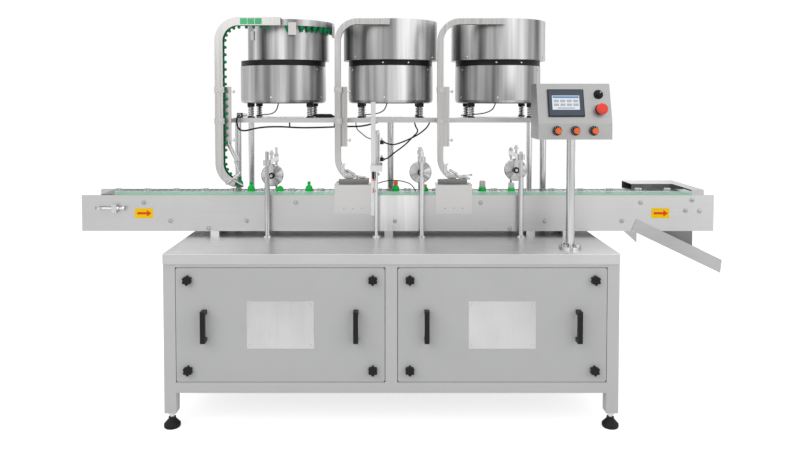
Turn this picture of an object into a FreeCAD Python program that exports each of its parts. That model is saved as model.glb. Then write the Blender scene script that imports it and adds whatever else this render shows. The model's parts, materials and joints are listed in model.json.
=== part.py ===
# Rotary-feeder capping machine, as a FreeCAD 1.1 macro.  Millimetres, +Z up.
# Places are given as (x, depth, z): x from the cabinet's centre, depth behind the
# table's front edge, z above the floor.  frame_origin shifts them to the part's frame,
# whose origin is on the floor under the centre of the whole machine.
import FreeCAD
import Part
import Sketcher
import math
import os
import re
from types import SimpleNamespace
from FreeCAD import Placement, Rotation, Vector

# Sizes that can each be set by themselves.
DIMENSIONS = [
    # cabinet and table
    ("cabinet_width", 1600), ("table_depth", 900), ("table_height", 622), ("table_skirt", 36),
    ("table_sheet", 3), ("table_corner", 9), ("table_overhang", 3), ("cabinet_floor", 129),
    ("frame_tube", 42), ("tube_wall", 3), ("bottom_rail", 38), ("top_rail", 47), ("leg_floor", 56),
    ("cladding", 2), ("panel_gap", 2), ("panel_depth", 20), ("panel_sheet", 1.5),
    ("panel_corner", 8), ("knob_inset", 42), ("knob_radius", 17), ("knob_reach", 16),
    ("stud_radius", 3.9), ("stud_hole", 4.4), ("handle_inset", 101), ("handle_length", 111),
    ("handle_width", 17), ("handle_reach", 34), ("foot_radius", 29), ("foot_height", 36),
    ("foot_spindle", 8), ("foot_travel", 30),
    # conveyor
    ("conveyor_length", 2508), ("conveyor_offset", 27), ("conveyor_inset", 567),
    ("conveyor_width", 190), ("conveyor_gap", 17), ("plate_height", 143), ("plate_sheet", 5),
    ("slat_pitch", 23.7), ("slat_gap", 3), ("slat_sheet", 4), ("slat_length", 146),
    ("band_sheet", 3), ("band_width", 12), ("band_inset", 13), ("slats_per_nest", 5),
    ("nest_radius", 13.5), ("nest_height", 15), ("nest_slot", 4), ("drive_end", 88.25),
    ("tail_end", 73), ("shaft_radius", 12.5), ("bearing_sheet", 13), ("drum_margin", 4),
    ("groove_width", 4), ("groove_depth", 2), ("running_gap", 0.3), ("shaft_fit", 0.05),
    ("tie_radius", 8), ("tie_drop", 30), ("rail_width", 14), ("guide_height", 14),
    ("guide_sheet", 12), ("screw_radius", 5), ("chute_reach", 123.25), ("chute_clear", 151),
    ("chute_angle", 25.6), ("chute_wall", 50), ("chute_sheet", 2),
    # feeders
    ("shelf_height", 461), ("shelf_sheet", 20), ("shelf_half", 668), ("shelf_inset", 50),
    ("shelf_depth", 320), ("post_side", 27), ("post_x", 650), ("post_inset", 18),
    ("feeder_setback", 122), ("feeder_pitch", 470), ("feeder_x", -1), ("drum_radius", 185),
    ("drum_height", 159), ("drum_sheet", 3), ("bowl_radius", 205), ("bowl_gap", 24),
    ("bowl_height", 167), ("bowl_sheet", 3), ("ledge_width", 34), ("ledge_rise", 58),
    ("collar_radius", 178), ("first_bowl_radius", 177), ("first_bowl_shift", 23.5),
    ("outlet_width", 24), ("spring_x", 126), ("spring_depth", 96), ("spring_height", 61),
    ("spring_radius", 14), ("wire_radius", 2), ("cup_height", 12), ("cup_radius", 16),
    # delivery tracks
    ("track_sheet", 2), ("track_drop", 16), ("track_bend", 80), ("track_foot_bend", 85),
    ("pin_radius", 2.5), ("lever_sheet", 4), ("lever_length", 44),
    # press wheels
    ("stand_gap", 27), ("stand_radius", 10), ("stand_neck", 7), ("step_rise", 76),
    ("stand_rise", 176), ("bar_side", 18), ("wheel_radius", 45), ("wheel_width", 24),
    ("wheel_drop", 63), ("axle_radius", 6), ("wheel_seal", 17), ("hanger_sheet", 8),
    ("hanger_width", 16),
    # station covers
    ("cover_width", 145), ("cover_height", 115), ("cover_rise", 42), ("cover_reach", 70),
    # air cylinder
    ("cylinder_x", -58), ("cylinder_side", 27), ("cylinder_rise", 122), ("cylinder_height", 118),
    ("rod_radius", 5), ("rod_fit", 0.05),
    # control desk
    ("desk_x", 650), ("desk_width", 261), ("desk_depth", 130), ("desk_rise", 399),
    ("desk_crease", 57), ("desk_height", 198), ("desk_front", 40), ("desk_lean", 41),
    ("desk_sheet", 2), ("post_radius", 15.5), ("post_depth", 98), ("flange_radius", 40),
    ("flange_sheet", 10),
]

# Places that follow from them.
DERIVED = [
    ("table_length", "cabinet_width + 2 * table_overhang"),
    ("conveyor_depth", "table_depth - conveyor_inset"),
    ("plate_floor", "table_height + conveyor_gap"),
    ("plate_top", "plate_floor + plate_height"),
    ("drive_x", "conveyor_offset + conveyor_length / 2 - drive_end"),
    ("chute_start_x", "table_length / 2 + chute_clear"),
    ("chute_start_z", "plate_floor + table_overhang"),
    ("chute_end_x", "drive_x + chute_reach"),
    ("shelf_z", "table_height + shelf_height"),
    ("shelf_back", "table_depth - shelf_inset"),
    ("shelf_front", "shelf_back - shelf_depth"),
    ("post_front", "shelf_front + post_inset"),
    ("post_back", "shelf_back - post_inset"),
    ("feeder_depth", "shelf_front + feeder_setback"),
    ("drum_floor", "shelf_z + spring_height"),
    ("drum_top", "drum_floor + drum_height"),
    ("bowl_floor", "drum_top + bowl_gap"),
    ("bowl_top", "bowl_floor + bowl_height"),
    ("track_top", "bowl_top - track_drop"),
    ("track_depth", "conveyor_depth + conveyor_width / 2 + 2"),
    ("stand_front", "conveyor_depth - stand_gap"),
    ("stand_back", "conveyor_depth + conveyor_width + 7"),
    ("post_step", "plate_top + step_rise"),
    ("stand_top", "plate_top + stand_rise"),
    ("cover_top", "plate_top + cover_rise"),
    ("cylinder_floor", "plate_top + cylinder_rise"),
    ("desk_floor", "table_height + desk_rise"),
]

doc = FreeCAD.newDocument("CappingMachine")
sheet = doc.addObject("Spreadsheet::Sheet", "Dimensions")
for row, (alias, number) in enumerate(DIMENSIONS, start=1):
    sheet.set(f"A{row}", alias)
    sheet.set(f"B{row}", str(number))
    sheet.setAlias(f"B{row}", alias)
for row, (alias, text) in enumerate(DERIVED, start=len(DIMENSIONS) + 1):
    sheet.set(f"A{row}", alias)
    sheet.set(f"B{row}", f"={text}")
    sheet.setAlias(f"B{row}", alias)
doc.recompute()
D = SimpleNamespace(**{alias: float(sheet.get(alias)) for alias, _ in DIMENSIONS + DERIVED})
ALIASES = set(vars(D))
NODES = {}


def formula(text):
    """An expression in which each driving dimension is read from the sheet."""
    word = re.compile(r"[A-Za-z_][A-Za-z_0-9]*")
    return word.sub(lambda m: f"Dimensions.{m[0]}" if m[0] in ALIASES else m[0], str(text))


frame_origin = doc.addObject("Part::Vertex", "frame_origin")
frame_origin.setExpression("X", formula("(conveyor_length / 2 - conveyor_offset - chute_end_x) / 2"))
frame_origin.setExpression("Y", formula("(handle_reach + frame_tube / 2 - foot_radius - table_depth) / 2"))
doc.recompute()
ORIGIN = Vector(frame_origin.X.Value, frame_origin.Y.Value, 0)


def place(thing, x, depth, z, turn=None):
    """Bind a piece's place, with an optional fixed turn."""
    if turn is not None:
        thing.Placement = Placement(Vector(), turn)
    thing.setExpression("Placement.Base.x", formula(f"{x}") + " + frame_origin.X / 1mm")
    thing.setExpression("Placement.Base.y", formula(f"{depth}") + " + frame_origin.Y / 1mm")
    thing.setExpression("Placement.Base.z", formula(f"{z}"))
    return thing


TURNS = {"z": Rotation(), "x": Rotation(Vector(0, 1, 0), 90), "y": Rotation(Vector(1, 0, 0), -90)}


def box(name, x, depth, z):
    """A box between two ends on each axis."""
    piece = doc.addObject("Part::Box", name)
    for side, (low, high) in zip(("Length", "Width", "Height"), (x, depth, z)):
        piece.setExpression(side, formula(f"({high}) - ({low})"))
    return place(piece, f"({x[0]})", f"({depth[0]})", f"({z[0]})")


def rod(name, axis, radius, ends, across):
    """A cylinder along an axis between two ends; across holds its other two coordinates."""
    piece = doc.addObject("Part::Cylinder", name)
    piece.setExpression("Radius", formula(radius))
    piece.setExpression("Height", formula(f"({ends[1]}) - ({ends[0]})"))
    spot = {"x": (ends[0], *across), "y": (across[0], ends[0], across[1]), "z": (*across, ends[0])}[axis]
    return place(piece, *(f"({value})" for value in spot), TURNS[axis])


def cut(name, base, *tools):
    piece = doc.addObject("Part::Cut", name)
    piece.Base = base
    piece.Tool = tools[0] if len(tools) == 1 else fuse(f"{name}_tools", *tools)
    return piece


def fuse(name, *pieces):
    piece = doc.addObject("Part::MultiFuse", name)
    piece.Shapes = list(pieces)
    piece.Refine = True
    return piece


def group(name, *pieces):
    """Separate solids that belong to one node."""
    piece = doc.addObject("Part::Compound", name)
    piece.Links = list(pieces)
    return piece


def round_edges(name, base, way, radius):
    """Fillet the edges of a piece that run one way."""
    doc.recompute()
    piece = doc.addObject("Part::Fillet", name)
    piece.Base = base
    edges = [i for i, e in enumerate(base.Shape.Edges, 1)
             if abs(e.tangentAt(e.FirstParameter).dot(way)) > 0.9]
    piece.Edges = [(i, radius, radius) for i in edges]
    return piece


def node(label, piece):
    piece.Label = label
    NODES[label] = piece
    return piece


def solid(name, shape):
    """A computed shape, already in the (x, depth, z) places."""
    piece = doc.addObject("Part::Feature", name)
    piece.Shape = Part.makeCompound([shape])
    piece.Placement = Placement(ORIGIN, Rotation())
    return piece


def outline(body, plane, points):
    """A closed sketch of straight sides whose corners are bound to the sheet."""
    sketch = body.newObject("Sketcher::SketchObject", f"{body.Name}_outline")
    base = next(f for f in body.Origin.OriginFeatures if f.Role == plane)
    sketch.AttachmentSupport = (base, [""])
    sketch.MapMode = "FlatFace"
    around = [math.radians(360 * i / len(points)) for i in range(len(points))]
    rough = [(100 * math.cos(a), 100 * math.sin(a)) for a in around]
    for start, end in zip(rough, rough[1:] + rough[:1]):
        sketch.addGeometry(Part.LineSegment(Vector(*start, 0), Vector(*end, 0)), False)
    for i in range(len(points)):
        following = (i + 1) % len(points)
        sketch.addConstraint(Sketcher.Constraint("Coincident", i, 2, following, 1))
    for i, corner in enumerate(points):
        for kind, text, start, axis in zip(("DistanceX", "DistanceY"), corner, rough[i], (-2, -1)):
            if str(text) == "0":
                sketch.addConstraint(Sketcher.Constraint("PointOnObject", i, 1, axis))
                continue
            index = sketch.addConstraint(Sketcher.Constraint(kind, -1, 1, i, 1, start))
            sketch.setExpression(f"Constraints[{index}]", formula(text))
    return sketch


def turned(name, points, x, depth, z, turn=None):
    """A body of revolution about its own Z, from (radius, height) corners."""
    body = doc.addObject("PartDesign::Body", name)
    sketch = outline(body, "XZ_Plane", points)
    lathe = body.newObject("PartDesign::Revolution", f"{name}_lathe")
    lathe.Profile = sketch
    lathe.ReferenceAxis = (sketch, ["V_Axis"])
    lathe.Angle = 360
    sketch.Visibility = False
    return place(body, x, depth, z, turn)


def padded(name, plane, points, thickness, x, depth, z, turn=None):
    """An outline in the XZ or YZ plane, given a thickness along +Y or +X."""
    body = doc.addObject("PartDesign::Body", name)
    sketch = outline(body, plane, points)
    pad = body.newObject("PartDesign::Pad", f"{name}_pad")
    pad.Profile = sketch
    pad.setExpression("Length", formula(thickness))
    pad.Reversed = plane == "XZ_Plane"
    return place(body, x, depth, z, turn)


def tube(points, radius):
    """A bent rod along straight runs joined by arcs as large as the runs allow."""
    edges = []
    start = points[0]
    for before, corner, after in zip(points, points[1:], points[2:]):
        back = (before - corner).normalize()
        on = (after - corner).normalize()
        half_turn = (math.pi - back.getAngle(on)) / 2
        reach = 0.45 * min((before - corner).Length, (after - corner).Length)
        bend = reach / math.tan(half_turn)
        enter = corner + back * reach
        leave = corner + on * reach
        middle = corner + (back + on).normalize() * (bend / math.cos(half_turn) - bend)
        edges.append(Part.LineSegment(start, enter).toShape())
        edges.append(Part.Arc(enter, middle, leave).toShape())
        start = leave
        print(f"bend radius {bend:.1f}")
    edges.append(Part.LineSegment(start, points[-1]).toShape())
    path = Part.Wire(edges)
    way = (points[1] - points[0]).normalize()
    ring = Part.Wire([Part.makeCircle(radius, points[0], way)])
    pipe = path.makePipeShell([ring], True, True)
    print(f"length {path.Length:.0f}, volume ratio {pipe.Volume / (math.pi * radius ** 2 * path.Length):.4f}")
    return pipe


# ---- cabinet ----------------------------------------------------------------------
SIDES = (-1, 1)
HALF = "cabinet_width / 2"
FRONT = "table_overhang"
BACK = "(table_depth - table_overhang)"
FRAME_TOP = "(table_height - table_sheet)"
OPEN_LOW = "(cabinet_floor + bottom_rail)"
OPEN_HIGH = "(table_height - top_rail)"
PANEL_WIDTH = "((cabinet_width - 3 * frame_tube) / 2 - 2 * panel_gap)"
PANEL_HEIGHT = f"({OPEN_HIGH} - {OPEN_LOW} - 2 * panel_gap)"
PANEL_Z = f"(({OPEN_HIGH} + {OPEN_LOW}) / 2)"
PANEL_X = {side: f"({side} * (cabinet_width - frame_tube) / 4)" for side in SIDES}
PANEL_BACK = f"({FRONT} + panel_depth)"
FOOT_X = {side: f"({side} * (cabinet_width - frame_tube) / 2)" for side in SIDES}
FOOT_DEPTHS = (f"({FRONT} + frame_tube / 2)", f"({BACK} - frame_tube / 2)")
FOOT_PLACES = [(FOOT_X[side], depth) for depth in FOOT_DEPTHS for side in SIDES]
TAB = 6


def span(centre, size):
    """The two ends of a size about a centre."""
    return f"{centre} - ({size}) / 2", f"{centre} + ({size}) / 2"


def one_side(side, inner, outer):
    """A stretch between two distances from the middle, on one side of it."""
    return (inner, outer) if side > 0 else (f"-({outer})", f"-({inner})")


def knob_places(side):
    """The four star knobs of a panel, as (x, z, way to the nearest stile)."""
    reach = f"({PANEL_WIDTH} / 2 - knob_inset)"
    rise = f"({PANEL_HEIGHT} / 2 - knob_inset)"
    return [(f"({PANEL_X[side]} + {a} * {reach})", f"({PANEL_Z} + {b} * {rise})", a)
            for b in (1, -1) for a in SIDES]


def hollow_tube(name, axis, x, depth, z):
    """A square tube, open at both ends."""
    sides = {"x": x, "depth": depth, "z": z}
    inner = {k: v if k == axis else (f"{v[0]} + tube_wall", f"{v[1]} - tube_wall")
             for k, v in sides.items()}
    inner[axis] = (f"{sides[axis][0]} - 1", f"{sides[axis][1]} + 1")
    return cut(name, box(f"{name}_outside", x, depth, z), box(f"{name}_inside", **inner))


def make_cabinet_frame():
    """Welded square tube: legs, rails, centre stiles, and a tab behind each star knob."""
    inner = f"({HALF} - frame_tube)"
    faces = ((FRONT, f"{FRONT} + frame_tube"), (f"{BACK} - frame_tube", BACK))
    levels = (("cabinet_floor", OPEN_LOW), (OPEN_HIGH, FRAME_TOP))
    between = (f"{FRONT} + frame_tube", f"{BACK} - frame_tube")
    tubes = []
    for d, depth in enumerate(faces):
        tubes.append(hollow_tube(f"centre_stile_{d}", "z", span("0", "frame_tube"), depth,
                                 (OPEN_LOW, OPEN_HIGH)))
        for side in SIDES:
            foot = FOOT_PLACES[2 * d + (side + 1) // 2]
            x = one_side(side, inner, HALF)
            leg = hollow_tube(f"leg_{d}{side + 1}", "z", x, depth, ("leg_floor", FRAME_TOP))
            plug = box(f"leg_plug_{d}{side + 1}", x, depth, ("leg_floor", "leg_floor + frame_tube / 2"))
            bore = rod(f"foot_bore_{d}{side + 1}", "z", "foot_spindle + shaft_fit",
                       ("leg_floor - 1", "leg_floor + frame_tube"), foot)
            tubes.append(cut(f"footed_leg_{d}{side + 1}", fuse(f"plugged_leg_{d}{side + 1}", leg, plug),
                             bore))
        for r, level in enumerate(levels):
            tubes.append(hollow_tube(f"long_rail_{d}{r}", "x", (f"-{inner}", inner), depth, level))
    for side in SIDES:
        for r, level in enumerate(levels):
            x = one_side(side, inner, HALF)
            tubes.append(hollow_tube(f"side_rail_{side + 1}{r}", "depth", x, between, level))
        for n, (x, z, way) in enumerate(knob_places(side)):
            stile = f"({PANEL_X[side]} + {way} * ({PANEL_WIDTH} / 2 + panel_gap))"
            inner_end = f"{stile} - {way} * (knob_inset + 14)"
            ends = (inner_end, stile) if way > 0 else (stile, inner_end)
            depth = (f"{PANEL_BACK} + running_gap", f"{PANEL_BACK} + running_gap + {TAB}")
            tab = box(f"knob_tab_{side + 1}{n}", ends, depth, span(z, "frame_tube"))
            bore = rod(f"tab_bore_{side + 1}{n}", "y", "stud_radius + shaft_fit",
                       (PANEL_BACK, f"{PANEL_BACK} + 2 * {TAB}"),
                       (x, z))
            tubes.append(cut(f"bored_tab_{side + 1}{n}", tab, bore))
    return node("cabinet_frame", group("welded_frame", *tubes))


def make_table_top():
    """A folded sheet with a skirt all round and rounded upright corners."""
    outside = box("table_block", span("0", "table_length"), ("0", "table_depth"),
                  ("table_height - table_skirt", "table_height"))
    rounded = round_edges("table_rounded", outside, Vector(0, 0, 1), D.table_corner)
    hollow = box("table_hollow", span("0", "table_length - 2 * table_overhang"), (FRONT, BACK),
                 ("table_height - table_skirt - 1", FRAME_TOP))
    return node("table_top", cut("table_folded", rounded, hollow))


def make_cabinet_sheets():
    """The side and rear sheets let into the frame, and the floor pan."""
    inside = f"({HALF} - frame_tube)"
    depth = (f"{FRONT} + frame_tube", f"{BACK} - frame_tube")
    pieces = []
    for side in SIDES:
        sheet_x = one_side(side, f"{HALF} - cladding - 1", f"{HALF} - 1")
        pieces.append(box(f"side_sheet_{side + 1}", sheet_x, depth, (OPEN_LOW, OPEN_HIGH)))
        bay = one_side(side, "frame_tube / 2", inside)
        pieces.append(box(f"rear_sheet_{side + 1}", bay, (f"{BACK} - cladding - 1", f"{BACK} - 1"),
                          (OPEN_LOW, OPEN_HIGH)))
    floor = ("cabinet_floor + 2", "cabinet_floor + 2 + cladding")
    pieces.append(box("floor_pan", (f"-{inside}", inside), depth, floor))
    return node("cabinet_sheets", group("cabinet_sheet_set", *pieces))


def make_levelling_feet():
    """A domed rubber-faced pad, its spindle and the lock nut, one under each leg."""
    for n, spot in enumerate(FOOT_PLACES, start=1):
        profile = [("0", "0"), ("foot_radius - 2", "0"), ("foot_radius", "3"),
                   ("foot_radius", "foot_height / 3"),
                   ("foot_spindle + 5", "foot_height - 6"), ("foot_spindle + 5", "foot_height"),
                   ("foot_spindle", "foot_height"), ("foot_spindle", "leg_floor - 10"),
                   ("foot_spindle + 5", "leg_floor - 10"),
                   ("foot_spindle + 5", "leg_floor - running_gap"),
                   ("foot_spindle", "leg_floor - running_gap"),
                   ("foot_spindle", "leg_floor + foot_travel + 10"),
                   ("0", "leg_floor + foot_travel + 10")]
        node(f"levelling_foot_{n}", turned(f"foot_{n}", profile, *spot, "0"))


def make_front_panels():
    """Folded pans that fill the two front openings, with a pull handle near each end."""
    for side, label in zip(SIDES, ("left", "right")):
        wide = span(PANEL_X[side], PANEL_WIDTH)
        tall = span(PANEL_Z, PANEL_HEIGHT)
        block = box(f"panel_block_{label}", wide, (FRONT, PANEL_BACK), tall)
        rounded = round_edges(f"panel_rounded_{label}", block, Vector(0, 1, 0), D.panel_corner)
        hollow = box(f"panel_hollow_{label}", span(PANEL_X[side], f"{PANEL_WIDTH} - 2 * panel_sheet"),
                     (f"{FRONT} + panel_sheet", f"{PANEL_BACK} + 1"),
                     span(PANEL_Z, f"{PANEL_HEIGHT} - 2 * panel_sheet"))
        holes = [rod(f"stud_hole_{label}_{n}", "y", "stud_hole", ("0", PANEL_BACK), (x, z))
                 for n, (x, z, _) in enumerate(knob_places(side))]
        pieces = [cut(f"panel_pan_{label}", rounded, hollow, *holes)]
        for way in SIDES:
            x = f"({PANEL_X[side]} + {way} * ({PANEL_WIDTH} / 2 - handle_inset))"
            grip = box(f"grip_{label}_{way + 1}", span(x, "handle_width"),
                       (f"{FRONT} - handle_reach", FRONT),
                       span(PANEL_Z, "handle_length"))
            finger = box(f"finger_gap_{label}_{way + 1}", span(x, "handle_width + 2"),
                         (f"{FRONT} - handle_reach + 12", f"{FRONT} + 1"),
                         span(PANEL_Z, "handle_length - 28"))
            pieces.append(cut(f"pull_handle_{label}_{way + 1}", grip, finger))
        node(f"front_panel_{label}", group(f"panel_set_{label}", *pieces))


def make_panel_knobs():
    """Six-lobed star knobs on captive studs."""
    number = 0
    for side in SIDES:
        for x, z, _ in knob_places(side):
            number += 1
            front = f"{FRONT} - running_gap - knob_reach"
            back = f"{FRONT} - running_gap"
            pieces = [rod(f"knob_core_{number}", "y", "knob_radius - 4", (front, back), (x, z))]
            pieces.append(rod(f"knob_stud_{number}", "y", "stud_radius", (front, f"{PANEL_BACK} + {TAB}"),
                              (x, z)))
            for lobe in range(6):
                across = f"({x} + (knob_radius - 5) * {math.cos(math.radians(60 * lobe + 30)):.6f})"
                up = f"({z} + (knob_radius - 5) * {math.sin(math.radians(60 * lobe + 30)):.6f})"
                pieces.append(rod(f"knob_lobe_{number}_{lobe}", "y", "5", (front, back), (across, up)))
            node(f"panel_knob_{number}", fuse(f"star_knob_{number}", *pieces))


# ---- conveyor ---------------------------------------------------------------------
HALF_TURN = math.pi / 12
APOTHEM = D.slat_pitch / (2 * math.tan(HALF_TURN))
BAND_RUN = APOTHEM / math.cos(HALF_TURN)
PLATE_LOW = "plate_floor"
PLATE_TOP = "plate_top"
SHAFT_Z = D.plate_top - D.slat_sheet - D.band_sheet / 2 - BAND_RUN


def run_length():
    """Slats on each straight run: as many as fit, with whole steps between nests round the loop."""
    count = math.floor((D.conveyor_length - D.drive_end - D.tail_end) / D.slat_pitch)
    while (2 * count + 12) % D.slats_per_nest:
        count -= 1
    return count


RUN_SLATS = run_length()
TAIL_X = D.drive_x - RUN_SLATS * D.slat_pitch
CHAIN_DEPTH = D.conveyor_depth + D.conveyor_width / 2
CONVEYOR_LEFT = "(conveyor_offset - conveyor_length / 2)"
CONVEYOR_RIGHT = "(conveyor_offset + conveyor_length / 2)"
REAR_FACE = "(conveyor_depth + conveyor_width)"
PLATE_DEPTHS = (("conveyor_depth", "conveyor_depth + plate_sheet"),
                ("conveyor_depth + conveyor_width - plate_sheet", "conveyor_depth + conveyor_width"))
INNER = (D.conveyor_depth + D.plate_sheet, D.conveyor_depth + D.conveyor_width - D.plate_sheet)
TIE_PLACES = (TAIL_X + 173, -378, 355, D.drive_x - 203)
OUTER_BLOCK = "(table_length / 2 - 103)"
FOOT_BLOCKS = (f"-{OUTER_BLOCK}", "-9", f"{OUTER_BLOCK} - 145", OUTER_BLOCK)


def loop_lines(offset):
    """The sides of the band loop as (angle, distance from their own shaft, shaft x)."""
    run = BAND_RUN + offset
    flat = APOTHEM + offset
    right = [(75 - 30 * i, flat, D.drive_x) for i in range(6)]
    left = [(-105 - 30 * i, flat, TAIL_X) for i in range(6)]
    return [(90, run, D.drive_x)] + right + [(-90, run, D.drive_x)] + left


def loop_face(offset):
    """The loop's outline at an offset from the bands' middle, as a flat face."""
    lines = loop_lines(offset)
    corners = []
    for (a1, r1, x1), (a2, r2, x2) in zip(lines, lines[1:] + lines[:1]):
        c1, s1, c2, s2 = *direction(a1), *direction(a2)
        d1, d2 = r1 + c1 * x1, r2 + c2 * x2
        det = c1 * s2 - c2 * s1
        corners.append(Vector((d1 * s2 - d2 * s1) / det, 0, SHAFT_Z + (c1 * d2 - c2 * d1) / det))
    return Part.Face(Part.makePolygon(corners + corners[:1]))


def direction(degrees):
    return math.cos(math.radians(degrees)), math.sin(math.radians(degrees))


def slat_places():
    """Each slat's middle on the loop, as (x, z, outward angle)."""
    places = []
    for i in range(RUN_SLATS):
        places.append((D.drive_x - (i + 0.5) * D.slat_pitch, SHAFT_Z + BAND_RUN, 90))
    for shaft_x, first in ((TAIL_X, 105), (D.drive_x, 75)):
        ends = [first + 30 * i if shaft_x == TAIL_X else first - 30 * i for i in range(6)]
        for angle in ends:
            c, s = direction(angle)
            places.append((shaft_x + APOTHEM * c, SHAFT_Z + APOTHEM * s, angle))
        if shaft_x == TAIL_X:
            for i in range(RUN_SLATS):
                places.append((TAIL_X + (i + 0.5) * D.slat_pitch, SHAFT_Z - BAND_RUN, -90))
    return places


def stand_out(shape, x, z, angle, distance):
    """Lay a shape, made on z = 0 facing up, on the loop at a distance from the band's middle."""
    c, s = direction(angle)
    turn = Rotation(Vector(0, 1, 0), 90 - angle)
    moved = shape.copy()
    moved.Placement = Placement(Vector(x + c * distance, CHAIN_DEPTH, z + s * distance), turn)
    return moved


def make_slat_chain():
    """Slats riveted to two endless bands, with a nest on every fifth slat."""
    wide = D.slat_pitch - D.slat_gap
    slat = Part.makeBox(wide, D.slat_length, D.slat_sheet, Vector(-wide / 2, -D.slat_length / 2, 0))
    slot_corner = Vector(-D.nest_slot / 2, -D.nest_radius, D.nest_height / 3)
    slot = Part.makeBox(D.nest_slot, 2 * D.nest_radius, D.nest_height, slot_corner)
    cup = Part.makeCylinder(D.nest_radius, D.nest_height).cut(slot)
    places = slat_places()
    lift = D.band_sheet / 2
    slats = [stand_out(slat, *spot, lift) for spot in places]
    nests = [stand_out(cup, *spot, lift + D.slat_sheet) for spot in places[2::int(D.slats_per_nest)]]
    ring = loop_face(D.band_sheet / 2).cut(loop_face(-D.band_sheet / 2))
    bands = []
    for side in SIDES:
        edge = CHAIN_DEPTH + side * (D.slat_length / 2 - D.band_inset) - D.band_width / 2
        band = ring.extrude(Vector(0, D.band_width, 0))
        band.translate(Vector(0, edge, 0))
        bands.append(band)
    node("slat_chain", solid("slats_and_bands", Part.makeCompound(slats + bands)))
    node("chain_nests", solid("nest_set", Part.makeCompound(nests)))


def make_shaft(label, x):
    """A round drum inside the bands, grooved along its length for grip, and its shaft."""
    radius = APOTHEM - D.band_sheet / 2 - D.running_gap
    half = D.slat_length / 2 - D.band_inset + D.band_width / 2 + D.drum_margin
    end = D.conveyor_width / 2 - D.plate_sheet - 1
    rear = end if label == "tail_shaft" else D.conveyor_width / 2 + GEAR_DEPTH + 4
    along = Vector(0, 1, 0)
    drum = Part.makeCylinder(radius, 2 * half, Vector(0, -half, 0), along)
    drum = drum.fuse(Part.makeCylinder(D.shaft_radius, end + rear, Vector(0, -end, 0), along))
    corner = Vector(radius - D.groove_depth, -half - 1, -D.groove_width / 2)
    groove = Part.makeBox(D.groove_depth + 1, 2 * half + 2, D.groove_width, corner)
    grooves = []
    for i in range(12):
        turned_groove = groove.copy()
        turned_groove.rotate(Vector(), along, -30 * i - 15)
        grooves.append(turned_groove)
    drum = drum.cut(Part.makeCompound(grooves))
    drum.translate(Vector(x, CHAIN_DEPTH, SHAFT_Z))
    node(label, solid(f"{label}_solid", drum))


TAKE_UP_Z = f"{SHAFT_Z:.4f}"
TAKE_UP_SLOT = 12


def make_conveyor_plates():
    """The two long side plates, slotted for the chain's take-up, and the splice at the front."""
    slot = (f"{TAIL_X - 20}", f"{TAIL_X + 48}")
    for label, depth in zip(("front", "rear"), PLATE_DEPTHS):
        plate = box(f"plate_{label}", (CONVEYOR_LEFT, CONVEYOR_RIGHT), depth, (PLATE_LOW, PLATE_TOP))
        window = box(f"tail_slot_{label}", slot, (f"{depth[0]} - 1", f"{depth[1]} + 1"),
                     span(TAKE_UP_Z, TAKE_UP_SLOT))
        tools = [window]
        if label == "rear":
            tools.append(rod("drive_opening", "y", "shaft_radius + 2",
                             (f"{depth[0]} - 1", f"{depth[1]} + 1"),
                             ("drive_x", f"{SHAFT_Z:.4f}")))
        pieces = [cut(f"slotted_plate_{label}", plate, *tools)]
        if label == "front":
            lap = ("conveyor_depth - 1.5", "conveyor_depth")
            pieces.append(box("splice_plate", ("-43", "110"), lap,
                              (f"{PLATE_LOW} + 1", f"{PLATE_TOP} - 1")))
        node(f"conveyor_{label}_plate", group(f"conveyor_{label}_set", *pieces))


def make_take_up():
    """A tension screw on each plate: a lug, the screw with its head, and the tab it pulls."""
    pieces = []
    for n, (face, way) in enumerate((("conveyor_depth", -1), (REAR_FACE, 1))):
        out = [f"{face} + {way} * {d}" for d in (0, 18)]
        depth = (out[1], out[0]) if way < 0 else (out[0], out[1])
        middle = f"{face} + {way} * 9"
        lug = box(f"take_up_lug_{n}", (f"{TAIL_X + 50}", f"{TAIL_X + 70}"), depth, span(TAKE_UP_Z, "34"))
        hole = rod(f"take_up_hole_{n}", "x", "screw_radius", (f"{TAIL_X + 49}", f"{TAIL_X + 71}"),
                   (middle, TAKE_UP_Z))
        pieces.append(cut(f"take_up_bored_{n}", lug, hole))
        screw = rod(f"take_up_screw_{n}", "x", "screw_radius", (f"{TAIL_X + 4}", f"{TAIL_X + 92}"),
                    (middle, TAKE_UP_Z))
        head = rod(f"take_up_head_{n}", "x", "9", (f"{TAIL_X + 92}", f"{TAIL_X + 100}"),
                   (middle, TAKE_UP_Z))
        nut = rod(f"take_up_nut_{n}", "x", "9", (f"{TAIL_X + 70}", f"{TAIL_X + 78}"), (middle, TAKE_UP_Z))
        reach = (out[1], f"{face} + plate_sheet") if way < 0 else (f"{face} - plate_sheet", out[1])
        tab = box(f"take_up_tab_{n}", (f"{TAIL_X - 8}", f"{TAIL_X + 8}"), reach,
                  span(TAKE_UP_Z, TAKE_UP_SLOT - 1))
        pieces.append(fuse(f"take_up_{n}", screw, head, nut, tab))
    return pieces


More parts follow.
